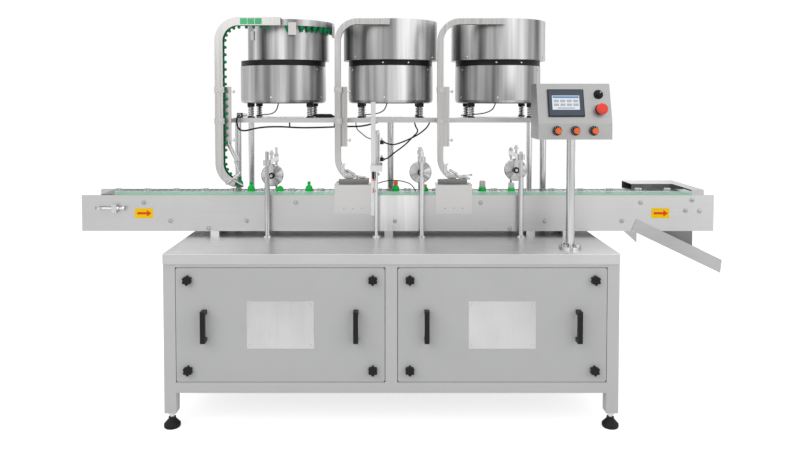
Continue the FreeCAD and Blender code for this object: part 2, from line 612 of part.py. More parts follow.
def make_crossmembers():
    """Tie bars between the plates, the blocks on the table, the wear rails and the shaft bearings."""
    inside = (f"{INNER[0]}", f"{INNER[1]}")
    pieces = []
    for n, x in enumerate(TIE_PLACES):
        pieces.append(rod(f"tie_bar_{n}", "y", "tie_radius", inside, (x, f"{PLATE_TOP} - tie_drop")))
    for n, x in enumerate(FOOT_BLOCKS):
        depth = ("conveyor_depth", "conveyor_depth + conveyor_width")
        pieces.append(box(f"foot_block_{n}", span(x, "34"), depth, ("table_height", PLATE_LOW)))
    under_band = SHAFT_Z + BAND_RUN - D.band_sheet / 2
    above_return = SHAFT_Z - BAND_RUN - D.band_sheet / 2 - D.slat_sheet
    run = (TAIL_X + 60, D.drive_x - 60)
    for side in SIDES:
        middle = CHAIN_DEPTH + side * (D.slat_length / 2 - D.band_inset)
        across = span(f"{middle}", "rail_width")
        height = (f"{PLATE_TOP} - tie_drop + tie_radius", f"{under_band:.4f}")
        pieces.append(box(f"wear_rail_{side + 1}", run, across, height))
        wall = INNER[0] if side < 0 else INNER[1]
        across = (f"{wall}", f"{wall} + 26") if side < 0 else (f"{wall} - 26", f"{wall}")
        pieces.append(box(f"return_rail_{side + 1}", run, across,
                          (f"{above_return - 4:.4f}", f"{above_return:.4f}")))
    node("conveyor_crossmembers", group("crossmember_set", *pieces, *make_bearings(), *make_take_up()))


def make_bearings():
    """Flanged bearings inside the plates at the drive, sliding blocks at the tail."""
    pieces = []
    for name, x in (("drive", D.drive_x), ("tail", TAIL_X)):
        for side in SIDES:
            wall = INNER[0] if side < 0 else INNER[1] - D.bearing_sheet
            depth = (f"{wall}", f"{wall} + bearing_sheet")
            block = box(f"bearing_{name}_{side + 1}", span(x, "62"), depth, span(f"{SHAFT_Z:.4f}", "58"))
            bore = rod(f"bearing_bore_{name}_{side + 1}", "y", "shaft_radius + shaft_fit",
                       (f"{wall} - 1", f"{wall} + bearing_sheet + 1"), (x, f"{SHAFT_Z:.4f}"))
            pieces.append(cut(f"bearing_block_{name}_{side + 1}", block, bore))
    return pieces


def make_guide_strip():
    """The clear strip on edge along the top of the front plate."""
    depth = ("conveyor_depth", "conveyor_depth + guide_sheet")
    node("guide_strip", box("guide_bar", (f"{TAIL_X + 56}", "drive_x - 4"), depth,
                            (PLATE_TOP, f"{PLATE_TOP} + guide_height")))


GEAR_SIDE = 90
GEAR_DEPTH = 80
MOTOR_RADIUS = 52


def make_gear_motor():
    """A hollow-bore worm gearbox on the rear plate, with its motor along the conveyor."""
    depth = (REAR_FACE, f"{REAR_FACE} + {GEAR_DEPTH}")
    case = box("gear_case", span("drive_x", f"{GEAR_SIDE}"), depth, span(f"{SHAFT_Z:.4f}", f"{GEAR_SIDE}"))
    bore = rod("gear_bore", "y", "shaft_radius + shaft_fit",
               (f"{REAR_FACE} - 1", f"{REAR_FACE} + {GEAR_DEPTH} + 1"),
               ("drive_x", f"{SHAFT_Z:.4f}"))
    spot = (f"{REAR_FACE} + {MOTOR_RADIUS} + 4", f"{SHAFT_Z - 4:.4f}")
    end = f"drive_x - {GEAR_SIDE} / 2"
    motor = rod("motor_case", "x", f"{MOTOR_RADIUS}", (f"{end} - 190", end), spot)
    flange = rod("motor_flange", "x", f"{MOTOR_RADIUS + 3}", (f"{end} - 12", end), spot)
    fan = rod("fan_cowl", "x", f"{MOTOR_RADIUS - 3}", (f"{end} - 225", f"{end} - 190"), spot)
    node("gear_motor", fuse("gear_motor_body", cut("gear_case_bored", case, bore), motor, flange, fan))


def make_drive_cover():
    """A folded cover behind the drive end, with a hood over the chain's nose."""
    skin = 2
    low, high = f"{PLATE_LOW} + 1", f"{PLATE_TOP} + 21.5"
    x = ("drive_x - 173", "drive_x + 48")
    back = (REAR_FACE, f"{REAR_FACE} + 122")
    outside = box("cover_block", x, back, (low, high))
    inside = box("cover_hollow", (f"{x[0]} - 1", f"{x[1]} - {skin}"),
                 (f"{back[0]} - 1", f"{back[1]} - {skin}"),
                 (f"{low} - 1", f"{high} - {skin}"))
    shell = cut("cover_shell", outside, inside)
    nose_x = ("drive_x - 1", x[1])
    nose_depth = ("conveyor_depth", REAR_FACE)
    roof = box("nose_roof", nose_x, nose_depth, (f"{high} - {skin}", high))
    front_lip = box("nose_front", nose_x, ("conveyor_depth", f"conveyor_depth + {skin}"), (PLATE_TOP, high))
    end_lip = box("nose_end", (f"{x[1]} - {skin}", x[1]), nose_depth, (f"{PLATE_TOP} + 1", high))
    node("drive_cover", fuse("cover_with_nose", shell, roof, front_lip, end_lip))


def make_discharge():
    """The sloping trough under the drive end, and the back plate and gusset that close it in."""
    slope = "tan(chute_angle)"
    lift = ("chute_wall * sin(chute_angle)", "chute_wall * cos(chute_angle)")
    low_end = f"chute_start_z - (chute_end_x - 6 - chute_start_x) * {slope}"
    top_x = f"chute_start_x + {lift[0]}"
    top_z = f"chute_start_z + {lift[1]}"
    top_end = f"{top_z} - (chute_end_x - ({top_x})) * {slope}"
    wall = [("chute_start_x", "chute_start_z"), ("chute_end_x - 6", low_end), ("chute_end_x", top_end),
            (top_x, top_z)]
    near = padded("chute_near_wall", "XZ_Plane", wall, "chute_sheet", "0", "conveyor_depth - chute_sheet",
                  "0")
    far = padded("chute_far_wall", "XZ_Plane", wall, "chute_sheet", "0", REAR_FACE, "0")
    clear_x = f"(chute_start_x + (chute_start_z - {PLATE_LOW} + 3) / {slope})"
    floor_z = f"chute_start_z - ({clear_x} - chute_start_x) * {slope}"
    floor = [(clear_x, floor_z), ("chute_end_x - 6", low_end),
             ("chute_end_x - 6", f"{low_end} + chute_sheet"),
             (clear_x, f"{floor_z} + chute_sheet")]
    pan = padded("chute_floor", "XZ_Plane", floor, "conveyor_width + 2 * chute_sheet", "0",
                 "conveyor_depth - chute_sheet", "0")
    trough = fuse("chute_trough", near, far, pan)
    ends = ("(chute_start_x + 55.75)", "(drive_x + 86)")
    foot = [f"chute_start_z - ({x} - chute_start_x) * {slope} + chute_sheet + running_gap" for x in ends]
    plate = [(ends[0], foot[0]), (ends[1], foot[1]), (ends[1], f"{PLATE_LOW} + 9"),
             (ends[0], f"{PLATE_LOW} + 9")]
    back = padded("chute_back", "XZ_Plane", plate, "chute_sheet", "0",
                  f"{REAR_FACE} - plate_sheet - chute_sheet", "0")
    corner = "chute_start_x + 23"
    gusset = [("chute_start_x - 30", PLATE_LOW), (corner, f"{PLATE_LOW} - 47"),
              (corner, f"chute_start_z - 23 * {slope} - running_gap"), ("chute_start_x + 4", PLATE_LOW)]
    web = padded("chute_gusset", "XZ_Plane", gusset, "chute_sheet", "0", "conveyor_depth + 2", "0")
    node("discharge_chute", group("discharge_set", trough, back, web))


COVER_PLACES = (-152, 249)


def make_station_covers():
    """A folded guard on the front plate at each nozzle and overcap station, with a guide rail on it."""
    pieces = []
    for n, x in enumerate(COVER_PLACES):
        across = span(x, "cover_width")
        face = box(f"cover_face_{n}", across, ("conveyor_depth - 2", "conveyor_depth"),
                   ("cover_top - cover_height", "cover_top"))
        lid = box(f"cover_lid_{n}", across, ("conveyor_depth - 2", "conveyor_depth + cover_reach"),
                  ("cover_top - 2", "cover_top"))
        reach = ("conveyor_depth + cover_reach - 14", "conveyor_depth + cover_reach")
        rail = box(f"cover_rail_{n}", span(x, "cover_width - 26"), reach, ("cover_top", "cover_top + 15"))
        pieces.append(fuse(f"station_cover_{n}", face, lid, rail))
    node("station_covers", group("station_cover_set", *pieces))


# ---- press wheels -----------------------------------------------------------------
# each stand's x, and its wheel's centre above the plates
STANDS = ((-486, "(plate_top + 69)"), (121, "(plate_top + 82.5)"), (510, "(plate_top + 91.5)"))
COLLAR = 15


def make_press_stands():
    """Three portals over the chain: a stepped front post, a rear stud and a clamped cross bar."""
    pieces = []
    for n, (x, wheel_z) in enumerate(STANDS):
        bar_z = f"({wheel_z} + wheel_drop)"
        front, back = (x, "stand_front"), (x, "stand_back")
        feet = [rod(f"stand_foot_{n}_{i}", "z", "17", ("table_height", "table_height + 6"), spot)
                for i, spot in enumerate((front, back))]
        post = rod(f"stand_post_{n}", "z", "stand_radius", ("table_height", "post_step"), front)
        neck = rod(f"stand_neck_{n}", "z", "stand_neck", ("post_step", "stand_top"), front)
        pieces.append(fuse(f"stand_upright_{n}", feet[0], post, neck))
        nuts = [rod(f"stand_nut_{n}_{i}", "z", "9", ends, back)
                for i, ends in enumerate(((f"{bar_z} + bar_side / 2", f"{bar_z} + bar_side / 2 + 8"),
                                          (f"{bar_z} - bar_side / 2 - 8", f"{bar_z} - bar_side / 2")))]
        stud = rod(f"stand_stud_{n}", "z", "screw_radius", ("table_height", "stand_top"), back)
        pieces.append(fuse(f"stand_rear_{n}", feet[1], stud, *nuts))
        collar = rod(f"stand_collar_{n}", "z", COLLAR, span(bar_z, "bar_side + 4"), front)
        bar = box(f"stand_bar_{n}", span(x, "bar_side"), ("stand_front", "stand_back + 11"),
                  span(bar_z, "bar_side"))
        through = span(bar_z, "3 * bar_side")
        bores = [rod(f"neck_bore_{n}", "z", "stand_neck", through, front),
                 rod(f"stud_bore_{n}", "z", "screw_radius", through, back),
                 rod(f"screw_bore_{n}", "z", "screw_radius + shaft_fit", through, (x, HANGER_DEPTH))]
        pieces.append(cut(f"cross_bar_{n}", fuse(f"clamped_bar_{n}", bar, collar), *bores))
    node("press_stands", group("press_stand_set", *pieces))


WHEEL_DEPTH = "(conveyor_depth + conveyor_width / 2)"
HANGER_DEPTH = f"({WHEEL_DEPTH} - wheel_width / 2 - 2 - hanger_sheet / 2)"


def make_press_heads():
    """The adjusting screw, hanger and axle that carry each wheel."""
    for n, (x, wheel_z) in enumerate(STANDS, start=1):
        depth = span(HANGER_DEPTH, "hanger_sheet")
        hanger = box(f"hanger_{n}", span(x, "hanger_width"), depth, (f"{wheel_z} - 12", f"{wheel_z} + 41"))
        shoulder = box(f"shoulder_{n}", span(x, "hanger_width"), span(HANGER_DEPTH, "2 * screw_radius + 4"),
                       (f"{wheel_z} + 25", f"{wheel_z} + 41"))
        screw = rod(f"adjusting_screw_{n}", "z", "screw_radius",
                    (f"{wheel_z} + 30", f"{wheel_z} + wheel_drop + 40"),
                    (x, HANGER_DEPTH))
        knob = rod(f"screw_head_{n}", "z", "8.5",
                   (f"{wheel_z} + wheel_drop + 22", f"{wheel_z} + wheel_drop + 32"),
                   (x, HANGER_DEPTH))
        axle = rod(f"axle_{n}", "y", "axle_radius", (HANGER_DEPTH, f"{WHEEL_DEPTH} + wheel_width / 2 + 3"),
                   (x, wheel_z))
        node(f"press_head_{n}", fuse(f"head_{n}", hanger, shoulder, screw, knob, axle))


def make_press_wheels():
    """Grooved rollers that seat the caps while their nozzles pass along the groove."""
    half = "wheel_width / 2"
    bore = "axle_radius + shaft_fit"
    profile = [(bore, f"-{half}"), ("wheel_seal", f"-{half}"), ("wheel_seal", f"2 - {half}"),
               ("wheel_radius - 2", f"2 - {half}"), ("wheel_radius", f"4 - {half}"), ("wheel_radius", "-5"),
               ("wheel_radius - 11", "-4"), ("wheel_radius - 11", "4"), ("wheel_radius", "5"),
               ("wheel_radius", f"{half} - 4"), ("wheel_radius - 2", f"{half} - 2"),
               ("wheel_seal", f"{half} - 2"),
               ("wheel_seal", half), (bore, half)]
    for n, (x, wheel_z) in enumerate(STANDS, start=1):
        node(f"press_wheel_{n}", turned(f"wheel_{n}", profile, x, WHEEL_DEPTH, wheel_z, TURNS["y"]))


def make_air_cylinder():
    """A pneumatic cylinder clamped to its front post and to a flat bar bolted on the front plate."""
    spot = ("cylinder_x", WHEEL_DEPTH)
    post = rod("cylinder_post", "z", "stand_neck", ("table_height", "cylinder_floor"),
               ("cylinder_x", "stand_front"))
    foot = rod("cylinder_foot", "z", "17", ("table_height", "table_height + 6"),
               ("cylinder_x", "stand_front"))
    block = box("clamp_block", span("cylinder_x", "46"), ("stand_front - 14", f"{WHEEL_DEPTH} + 20"),
                ("cylinder_floor - 24", "cylinder_floor"))
    barrel = box("cylinder_barrel", span("cylinder_x", "cylinder_side"), span(WHEEL_DEPTH, "cylinder_side"),
                 ("cylinder_floor", "cylinder_floor + cylinder_height"))
    bar = box("backing_bar", ("cylinder_x - 21.2", "cylinder_x - 3"),
              ("conveyor_depth - 8", "conveyor_depth"),
              ("plate_floor + 63", "cylinder_floor + cylinder_height + 130"))
    side = ("cylinder_x + cylinder_side / 2", "cylinder_x + cylinder_side / 2 + 14")
    fittings = [box(f"air_fitting_{n}", side, span(WHEEL_DEPTH, "14"),
                    span(f"(cylinder_floor + {rise})", "16"))
                for n, rise in enumerate((12, 82))]
    cap = box("cylinder_cap", span("cylinder_x", "cylinder_side - 6"),
              span(WHEEL_DEPTH, "cylinder_side - 6"),
              ("cylinder_floor + cylinder_height", "cylinder_floor + cylinder_height + 12"))
    bore = rod("cylinder_bore", "z", "rod_radius + rod_fit",
               ("cylinder_floor - 30", "cylinder_floor + cylinder_height - 10"), spot)
    whole = fuse("cylinder_whole", post, foot, block, barrel, cap, bar, *fittings)
    node("air_cylinder", cut("cylinder_bored", whole, bore))
    rest = "cylinder_floor - 54"
    stem = rod("piston_stem", "z", "rod_radius", (rest, "cylinder_floor + cylinder_height - 45"), spot)
    pad = rod("press_pad", "z", "12", (f"{rest}", f"{rest} + 12"), spot)
    node("piston_rod", fuse("piston_and_pad", stem, pad))


# ---- feeders ----------------------------------------------------------------------
FEEDERS = [f"(feeder_x + {n} * feeder_pitch)" for n in (-1, 0, 1)]


def make_feeder_stand():
    """The shelf that carries the three feeders, on six round posts with foot flanges."""
    block = box("shelf_block", ("-shelf_half", "shelf_half"), ("shelf_front", "shelf_back"),
                ("shelf_z - shelf_sheet", "shelf_z"))
    hollow = box("shelf_hollow", ("3 - shelf_half", "shelf_half - 3"),
                 ("shelf_front + 3", "shelf_back - 3"),
                 ("shelf_z - shelf_sheet - 1", "shelf_z - 4"))
    node("feeder_shelf", cut("shelf_folded", block, hollow))
    posts = []
    for n, x in enumerate(("feeder_x - post_x", "feeder_x", "feeder_x + post_x")):
        for d, depth in enumerate(("post_front", "post_back")):
            post = rod(f"shelf_post_{n}{d}", "z", "post_side / 2", ("table_height", "shelf_z - 4"),
                       (f"({x})", depth))
            foot = rod(f"shelf_foot_{n}{d}", "z", "post_side / 2 + 9",
                       ("table_height", "table_height + 6"), (f"({x})", depth))
            posts.append(fuse(f"shelf_leg_{n}{d}", post, foot))
    node("shelf_posts", group("shelf_post_set", *posts))


def make_feeder_drums():
    """The open-topped drive housings with their centre pillars, and the spring mounts below."""
    profile = [("0", "0"), ("drum_radius - 14", "0"), ("drum_radius - 4", "4"), ("drum_radius", "14"),
               ("drum_radius", "drum_top - drum_floor"),
               ("drum_radius - drum_sheet", "drum_top - drum_floor"), ("drum_radius - drum_sheet", "8"),
               ("50", "8"),
               ("50", "bowl_floor - drum_floor - 41"), ("15", "bowl_floor - drum_floor - 41"),
               ("15", "bowl_floor - drum_floor - 17"), ("0", "bowl_floor - drum_floor - 17")]
    drums = [turned(f"drum_{n}", profile, x, "feeder_depth", "drum_floor") for n, x in enumerate(FEEDERS)]
    node("feeder_drums", group("drum_set", *drums))
    springs = []
    for n, x in enumerate(FEEDERS):
        for i, (a, b) in enumerate(((-1, -1), (1, -1), (-1, 1), (1, 1))):
            spot = (f"({x} + {a} * spring_x)", f"(feeder_depth + {b} * spring_depth)")
            low, high = "shelf_z", "drum_floor"
            core = rod(f"spring_core_{n}{i}", "z", "spring_radius - 2 * wire_radius", (low, high), spot)
            cups = [rod(f"spring_cup_{n}{i}0", "z", "cup_radius", (f"{high} - cup_height", high), spot),
                    rod(f"spring_cup_{n}{i}1", "z", "cup_radius", (low, f"{low} + cup_height / 2"), spot)]
            springs.append(fuse(f"spring_mount_{n}{i}", core, *cups))
    node("isolator_springs", group("spring_set", *springs))


def bowl_profile(radius):
    """A conical floor on a collar that dips into the drum, and a wall with a ledge on its inside."""
    low = "bowl_floor - drum_floor"
    high = "bowl_top - drum_floor"
    wall = f"{radius} - bowl_sheet"
    ledge = f"{low} + ledge_rise"
    return [("15 + shaft_fit", f"{low} - 40"), ("40", f"{low} - 40"), ("40", f"{low} - 4"),
            ("collar_radius - 12", f"{low} - 4"), ("collar_radius - 12", f"{low} - 36"),
            ("collar_radius - 6", f"{low} - 36"), ("collar_radius - 6", f"{low} - bowl_gap + 1.5"),
            ("drum_radius - 2", f"{low} - bowl_gap + 1.5"), ("drum_radius - 2", low), (radius, low),
            (radius, high),
            (wall, high), (wall, f"{ledge} + 4"), (f"{wall} - ledge_width", ledge),
            (f"{wall} - ledge_width", f"{ledge} - 4"), (wall, ledge), (wall, f"{low} + bowl_sheet"),
            ("0", f"{low} + 18"), ("0", f"{low} - 16"), ("15 + shaft_fit", f"{low} - 16")]


def make_first_bowl():
    """The smaller bowl, off its drum's middle, with the outlet that turns caps round its front."""
    x = f"({FEEDERS[0]} + first_bowl_shift)"
    low = "bowl_floor - drum_floor"
    wall = "first_bowl_radius - bowl_sheet"
    ledge = f"{low} + ledge_rise"
    dish = [("0", low), ("first_bowl_radius", low), ("first_bowl_radius", "bowl_top - drum_floor"),
            (wall, "bowl_top - drum_floor"), (wall, f"{ledge} + 4"), (f"{wall} - ledge_width", ledge),
            (f"{wall} - ledge_width", f"{ledge} - 4"), (wall, ledge), (wall, f"{low} + bowl_sheet"),
            ("0", f"{low} + 18")]
    skirt = [("15 + shaft_fit", f"{low} - 40"), ("40", f"{low} - 40"), ("40", f"{low} - 4"),
             ("collar_radius - 12", f"{low} - 4"), ("collar_radius - 12", f"{low} - 36"),
             ("collar_radius - 6", f"{low} - 36"), ("collar_radius - 6", f"{low} - bowl_gap + 1.5"),
             ("drum_radius - 2", f"{low} - bowl_gap + 1.5"), ("drum_radius - 2", f"{low} - 1"),
             ("first_bowl_radius - first_bowl_shift", f"{low} - 1"),
             ("first_bowl_radius - first_bowl_shift - 8", f"{low} + 3"), ("0", f"{low} + 3"),
             ("0", f"{low} - 16"), ("15 + shaft_fit", f"{low} - 16")]
    edge = "first_bowl_radius + outlet_width"
    rail = [("first_bowl_radius - 1", "track_top - drum_floor - 13"), (edge, "track_top - drum_floor - 13"),
            (edge, "track_top - drum_floor + 12"), ("first_bowl_radius - 1", "track_top - drum_floor + 12"),
            ("first_bowl_radius - 1", "track_top - drum_floor + 10"),
            (f"{edge} - 2", "track_top - drum_floor + 10"),
            (f"{edge} - 2", "track_top - drum_floor - 11"),
            ("first_bowl_radius - 1", "track_top - drum_floor - 11")]
    pieces = [turned("first_dish", dish, x, "feeder_depth", "drum_floor"),
              turned("first_skirt", skirt, FEEDERS[0], "feeder_depth", "drum_floor")]
    outlet = turned("first_outlet", rail, x, "feeder_depth", "drum_floor")
    outlet.getObject("first_outlet_lathe").Angle = 96
    outlet.Placement = Placement(Vector(), Rotation(Vector(0, 0, 1), -90))
    pieces.append(outlet)
    return fuse("first_bowl", *pieces)


def make_feeder_bowls():
    """Open bowls over the drums; the first is smaller and carries its outlet."""
    node("feeder_bowl_1", make_first_bowl())
    for n, x in enumerate(FEEDERS[1:], start=2):
        node(f"feeder_bowl_{n}", turned(f"bowl_{n}", bowl_profile("bowl_radius"), x, "feeder_depth",
                                        "drum_floor"))


# (upright's x, foot's underside above the plates, channel's width across the caps, channel's depth)
TRACKS = ((-699, 18, 33, 36), (-217, 40, 24, 28), (202, 40, 24, 28))


def channel(upright, foot_rise, wide, deep, start_x):
    """A C-shaped channel, open on its right, from the bowl's rim down to the chain."""
    top, bend, foot = D.track_top, D.track_bend, D.track_foot_bend
    low = D.plate_top + foot_rise + wide / 2 + foot
    middle = upright + foot
    c, s = direction(180 + 75)
    half_c, half_s = direction(180 + 75 / 2)
    points = [Vector(start_x, 0, top), Vector(upright + bend, 0, top), Vector(upright, 0, top - bend),
              Vector(upright, 0, low)]
    turn = Vector(upright + bend, 0, top - bend)
    over = turn + Vector(-bend, 0, bend) * math.sqrt(0.5)
    sweep_mid = Vector(middle + foot * half_c, 0, low + foot * half_s)
    foot_end = Vector(middle + foot * c, 0, low + foot * s)
    edges = [Part.LineSegment(points[0], points[1]).toShape(),
             Part.Arc(points[1], over, points[2]).toShape(),
             Part.LineSegment(points[2], points[3]).toShape(),
             Part.Arc(points[3], sweep_mid, foot_end).toShape()]
    t, w, h = D.track_sheet, wide / 2, deep / 2
    section = [(w, -h), (-w, -h), (-w, h), (w, h), (w, h - t), (t - w, h - t), (t - w, t - h), (w, t - h)]
    corners = [Vector(start_x, b, top - a) for a, b in section]
    ring = Part.makePolygon(corners + corners[:1])
    return Part.Wire(edges).makePipeShell([ring], True, True)


LEVER_ANGLE = 228


def lever_pivot(track):
    """The pin of a release lever, on the front wall at the foot of a channel."""
    upright, foot_rise, wide, _ = track
    c, s = direction(LEVER_ANGLE)
    middle = D.plate_top + foot_rise + wide / 2 + D.track_foot_bend
    return upright + D.track_foot_bend * (1 + c), middle + D.track_foot_bend * s


def channel_starts():
    """Where each channel begins beside its bowl, read from the sheet's rows."""
    first = D.feeder_x - D.feeder_pitch + D.first_bowl_shift
    return first, D.feeder_x - 3, D.feeder_x + D.feeder_pitch - 3


def make_delivery_tracks():
    """The three delivery channels, each with its guide bar and arm from the shelf, and its lever."""
    for n, (start, track) in enumerate(zip(channel_starts(), TRACKS), start=1):
        upright, foot_rise, wide, deep = track
        pipe = channel(upright, foot_rise, wide, deep, start)
        pipe.translate(Vector(0, D.track_depth, 0))
        face = D.track_depth - deep / 2
        x, z = lever_pivot(track)
        sheet_y = D.lever_sheet
        pin = Part.makeCylinder(D.pin_radius, sheet_y + 3, Vector(x, face - sheet_y - 2, z),
                                Vector(0, 1, 0))
        edge, back = upright + wide / 2, D.track_depth + deep / 2
        bar = Part.makeBox(26, 6, 245, Vector(edge, back - 6, D.shelf_z - 115))
        arm = Part.makeBox(26, D.shelf_front - back, 16, Vector(edge, back, D.shelf_z - 18))
        bands = [Part.makeBox(wide + 8, deep + 6, 24, Vector(upright - wide / 2 - 2, face - 3, z_low))
                 for z_low in (D.shelf_z - 22, D.shelf_z + 106)]
        hollow = Part.makeBox(wide + 6, deep, 600, Vector(upright - wide / 2, face, D.shelf_z - 200))
        straps = [band.cut(hollow) for band in bands]
        whole = pipe.fuse([pin, bar, arm] + straps)
        node(f"delivery_track_{n}", solid(f"track_{n}", whole))
        outer = face - D.running_gap - sheet_y
        eye = Part.makeCylinder(7, sheet_y, Vector(x, outer, z), Vector(0, 1, 0))
        blade = Part.makeBox(D.lever_length, sheet_y, 7, Vector(x, outer, z - 3.5))
        bore = Part.makeCylinder(D.pin_radius + D.shaft_fit, 20, Vector(x, outer - 8, z), Vector(0, 1, 0))
        node(f"release_lever_{n}", solid(f"lever_{n}", eye.fuse(blade).cut(bore)))


# Each cable's places from end to end, and its radius.
SHELF_UNDER = D.shelf_z - 4.8
EDGE = D.shelf_front
FITTING_RIGHT = D.cylinder_x + D.cylinder_side / 2 + 15
CYLINDER_LEFT = D.cylinder_x - D.cylinder_side / 2 - 1.2
MIDDLE = D.conveyor_depth + D.conveyor_width / 2
SUPPLY_LEAD = [(-646, EDGE + 20, D.shelf_z + 10), (-646, EDGE - 52, D.shelf_z + 8),
               (-636, EDGE - 44, D.shelf_z - 61), (-560, EDGE + 2, D.shelf_z - 40),
               (-470, EDGE + 9, D.shelf_z - 37), (-388, EDGE + 7, D.shelf_z - 43),
               (-290, EDGE + 10, D.shelf_z - 41), (-195, EDGE + 9, D.shelf_z - 37),
               (-100, EDGE + 13, D.shelf_z - 37), (-24, EDGE + 30, SHELF_UNDER - 2.4)]
SENSOR_LEAD = [(-150, EDGE + 26, SHELF_UNDER), (-150, EDGE + 20, D.shelf_z - 46),
               (-125, EDGE - 30, D.shelf_z - 62), (-109, EDGE - 60, D.shelf_z - 74),
               (-92, MIDDLE + 14, D.shelf_z - 82), (CYLINDER_LEFT, MIDDLE, D.shelf_z - 86)]
LOWER_HOSE = [(99, EDGE + 20, SHELF_UNDER), (102, EDGE + 14, D.shelf_z - 34),
              (118, EDGE - 16, D.shelf_z - 56), (90, EDGE - 39, D.shelf_z - 80),
              (58, EDGE - 62, D.shelf_z - 112), (9, MIDDLE + 8, D.shelf_z - 144),
              (-14, MIDDLE, D.shelf_z - 164), (FITTING_RIGHT, MIDDLE, D.cylinder_floor + 12)]
UPPER_HOSE = [(168, EDGE + 20, SHELF_UNDER), (166, EDGE + 12, D.shelf_z - 30),
              (122, EDGE - 36, D.shelf_z - 66), (64, EDGE - 72, D.shelf_z - 92),
              (12, MIDDLE + 16, D.shelf_z - 110), (-14, MIDDLE, D.shelf_z - 103),
              (FITTING_RIGHT, MIDDLE, D.cylinder_floor + 82)]
CAP_SENSOR_LEAD = [(D.cylinder_x + 8, D.stand_front, D.plate_top + 51),
                   (-22, D.stand_front + 6, D.plate_top + 60), (14, D.stand_front + 16, D.plate_top + 61),
                   (50, D.stand_front + 24, D.plate_top + 56), (88, D.conveyor_depth + 6, D.plate_top + 40),
                   (97, D.conveyor_depth + 6, D.plate_top + D.guide_height + 0.6)]


def drive_lead(x):
    """A drive's lead, from its drum's underside to the back of the shelf."""
    return [(x - 16, D.feeder_depth - 52, D.drum_floor - 0.8), (x - 22, D.feeder_depth - 46, D.drum_floor - 24),
            (x - 40, D.feeder_depth - 4, D.shelf_z + 22), (x - 60, D.feeder_depth + 40, D.shelf_z + 14),
            (x - 82, D.feeder_depth + 86, D.shelf_z + 10), (x - 104, D.feeder_depth + 130, D.shelf_z + 8),
            (x - 132, D.feeder_depth + 172, D.shelf_z + 6), (x - 140, D.feeder_depth + 180, D.shelf_z + 2.2)]


DRIVE_LEADS = [drive_lead(D.feeder_x + n * D.feeder_pitch) for n in (-1, 0, 1)]
CABLES = [(SUPPLY_LEAD, 3.5), (SENSOR_LEAD, 2), (LOWER_HOSE, 3), (UPPER_HOSE, 3), (CAP_SENSOR_LEAD, 2)]
CABLES += [(lead, 2.5) for lead in DRIVE_LEADS]


def make_cables():
    """The feeders' leads, the cylinder's sensor lead and hoses, and the cap sensor's lead."""
    cables = [tube([Vector(*spot) for spot in points], radius) for points, radius in CABLES]
    node("feeder_cables", solid("cable_set", Part.makeCompound(cables)))


# ---- control desk -----------------------------------------------------------------
FACE_SLOPE = "(desk_lean / (desk_height - desk_crease))"
FACE_TILT = math.degrees(math.atan(D.desk_lean / (D.desk_height - D.desk_crease)))
ON_FACE = Rotation(Vector(1, 0, 0), 90 - FACE_TILT)
ON_FRONT = Rotation(Vector(1, 0, 0), 90)
SPEED_KNOBS = (-65, 0, 65)
SPEED_KNOB_Z = "(desk_floor + 31)"


def face_depth(z):
    """The depth of the desk's sloping face at a height."""
    return f"(desk_front + ({z} - desk_floor - desk_crease) * {FACE_SLOPE})"


def make_control_desk():
    """A flanged post carrying the folded desk box."""
    spot = ("desk_x", "post_depth")
    pole = rod("desk_pole", "z", "post_radius", ("table_height", "desk_floor"), spot)
    flange = rod("desk_flange", "z", "flange_radius", ("table_height", "table_height + flange_sheet"), spot)
    bolts = []
    for i in range(4):
        c, s = direction(45 + 90 * i)
        across = (f"(desk_x + {c:.5f} * (flange_radius - 11))",
                  f"(post_depth + {s:.5f} * (flange_radius - 11))")
        head = ("table_height + flange_sheet", "table_height + flange_sheet + 7")
        bolts.append(rod(f"flange_bolt_{i}", "z", "7", head, across))
    node("control_post", fuse("desk_post", pole, flange, *bolts))
    profile = [("desk_front", "0"), ("desk_front + desk_depth", "0"),
               ("desk_front + desk_depth", "desk_height"),
               ("desk_front + desk_lean", "desk_height"), ("desk_front", "desk_crease")]
    top_in = "desk_front + desk_lean * (desk_height - desk_sheet - desk_crease) / (desk_height - desk_crease)"
    hollow = [("desk_front + desk_sheet", "desk_sheet"),
              ("desk_front + desk_depth - desk_sheet", "desk_sheet"),
              ("desk_front + desk_depth - desk_sheet", "desk_height - desk_sheet"),
              (f"{top_in} + desk_sheet", "desk_height - desk_sheet"),
              ("desk_front + desk_sheet", "desk_crease")]
    outside = padded("desk_box", "YZ_Plane", profile, "desk_width", "desk_x - desk_width / 2", "0",
                     "desk_floor")
    inside = padded("desk_hollow", "YZ_Plane", hollow, "desk_width - 2 * desk_sheet",
                    "desk_x - desk_width / 2 + desk_sheet", "0", "desk_floor")
    shell = cut("desk_shell", outside, inside)
    holes = []
    for n, offset in enumerate(SPEED_KNOBS):
        holes.append(rod(f"speed_hole_{n}", "y", "5 + shaft_fit", ("desk_front - 1", "desk_front + 20"),
                         (f"(desk_x + {offset})", SPEED_KNOB_Z)))
    for name, (offset, z, bore, _) in SWITCHES.items():
        hole = doc.addObject("Part::Cylinder", f"{name}_hole")
        hole.setExpression("Radius", formula(f"{bore} + shaft_fit"))
        hole.Height = 40
        holes.append(place(hole, f"(desk_x + {offset})", f"({face_depth(z)} + 24)",
                           f"({z} - 24 * {FACE_SLOPE})", ON_FACE))
    node("control_box", cut("desk_drilled", shell, *holes))


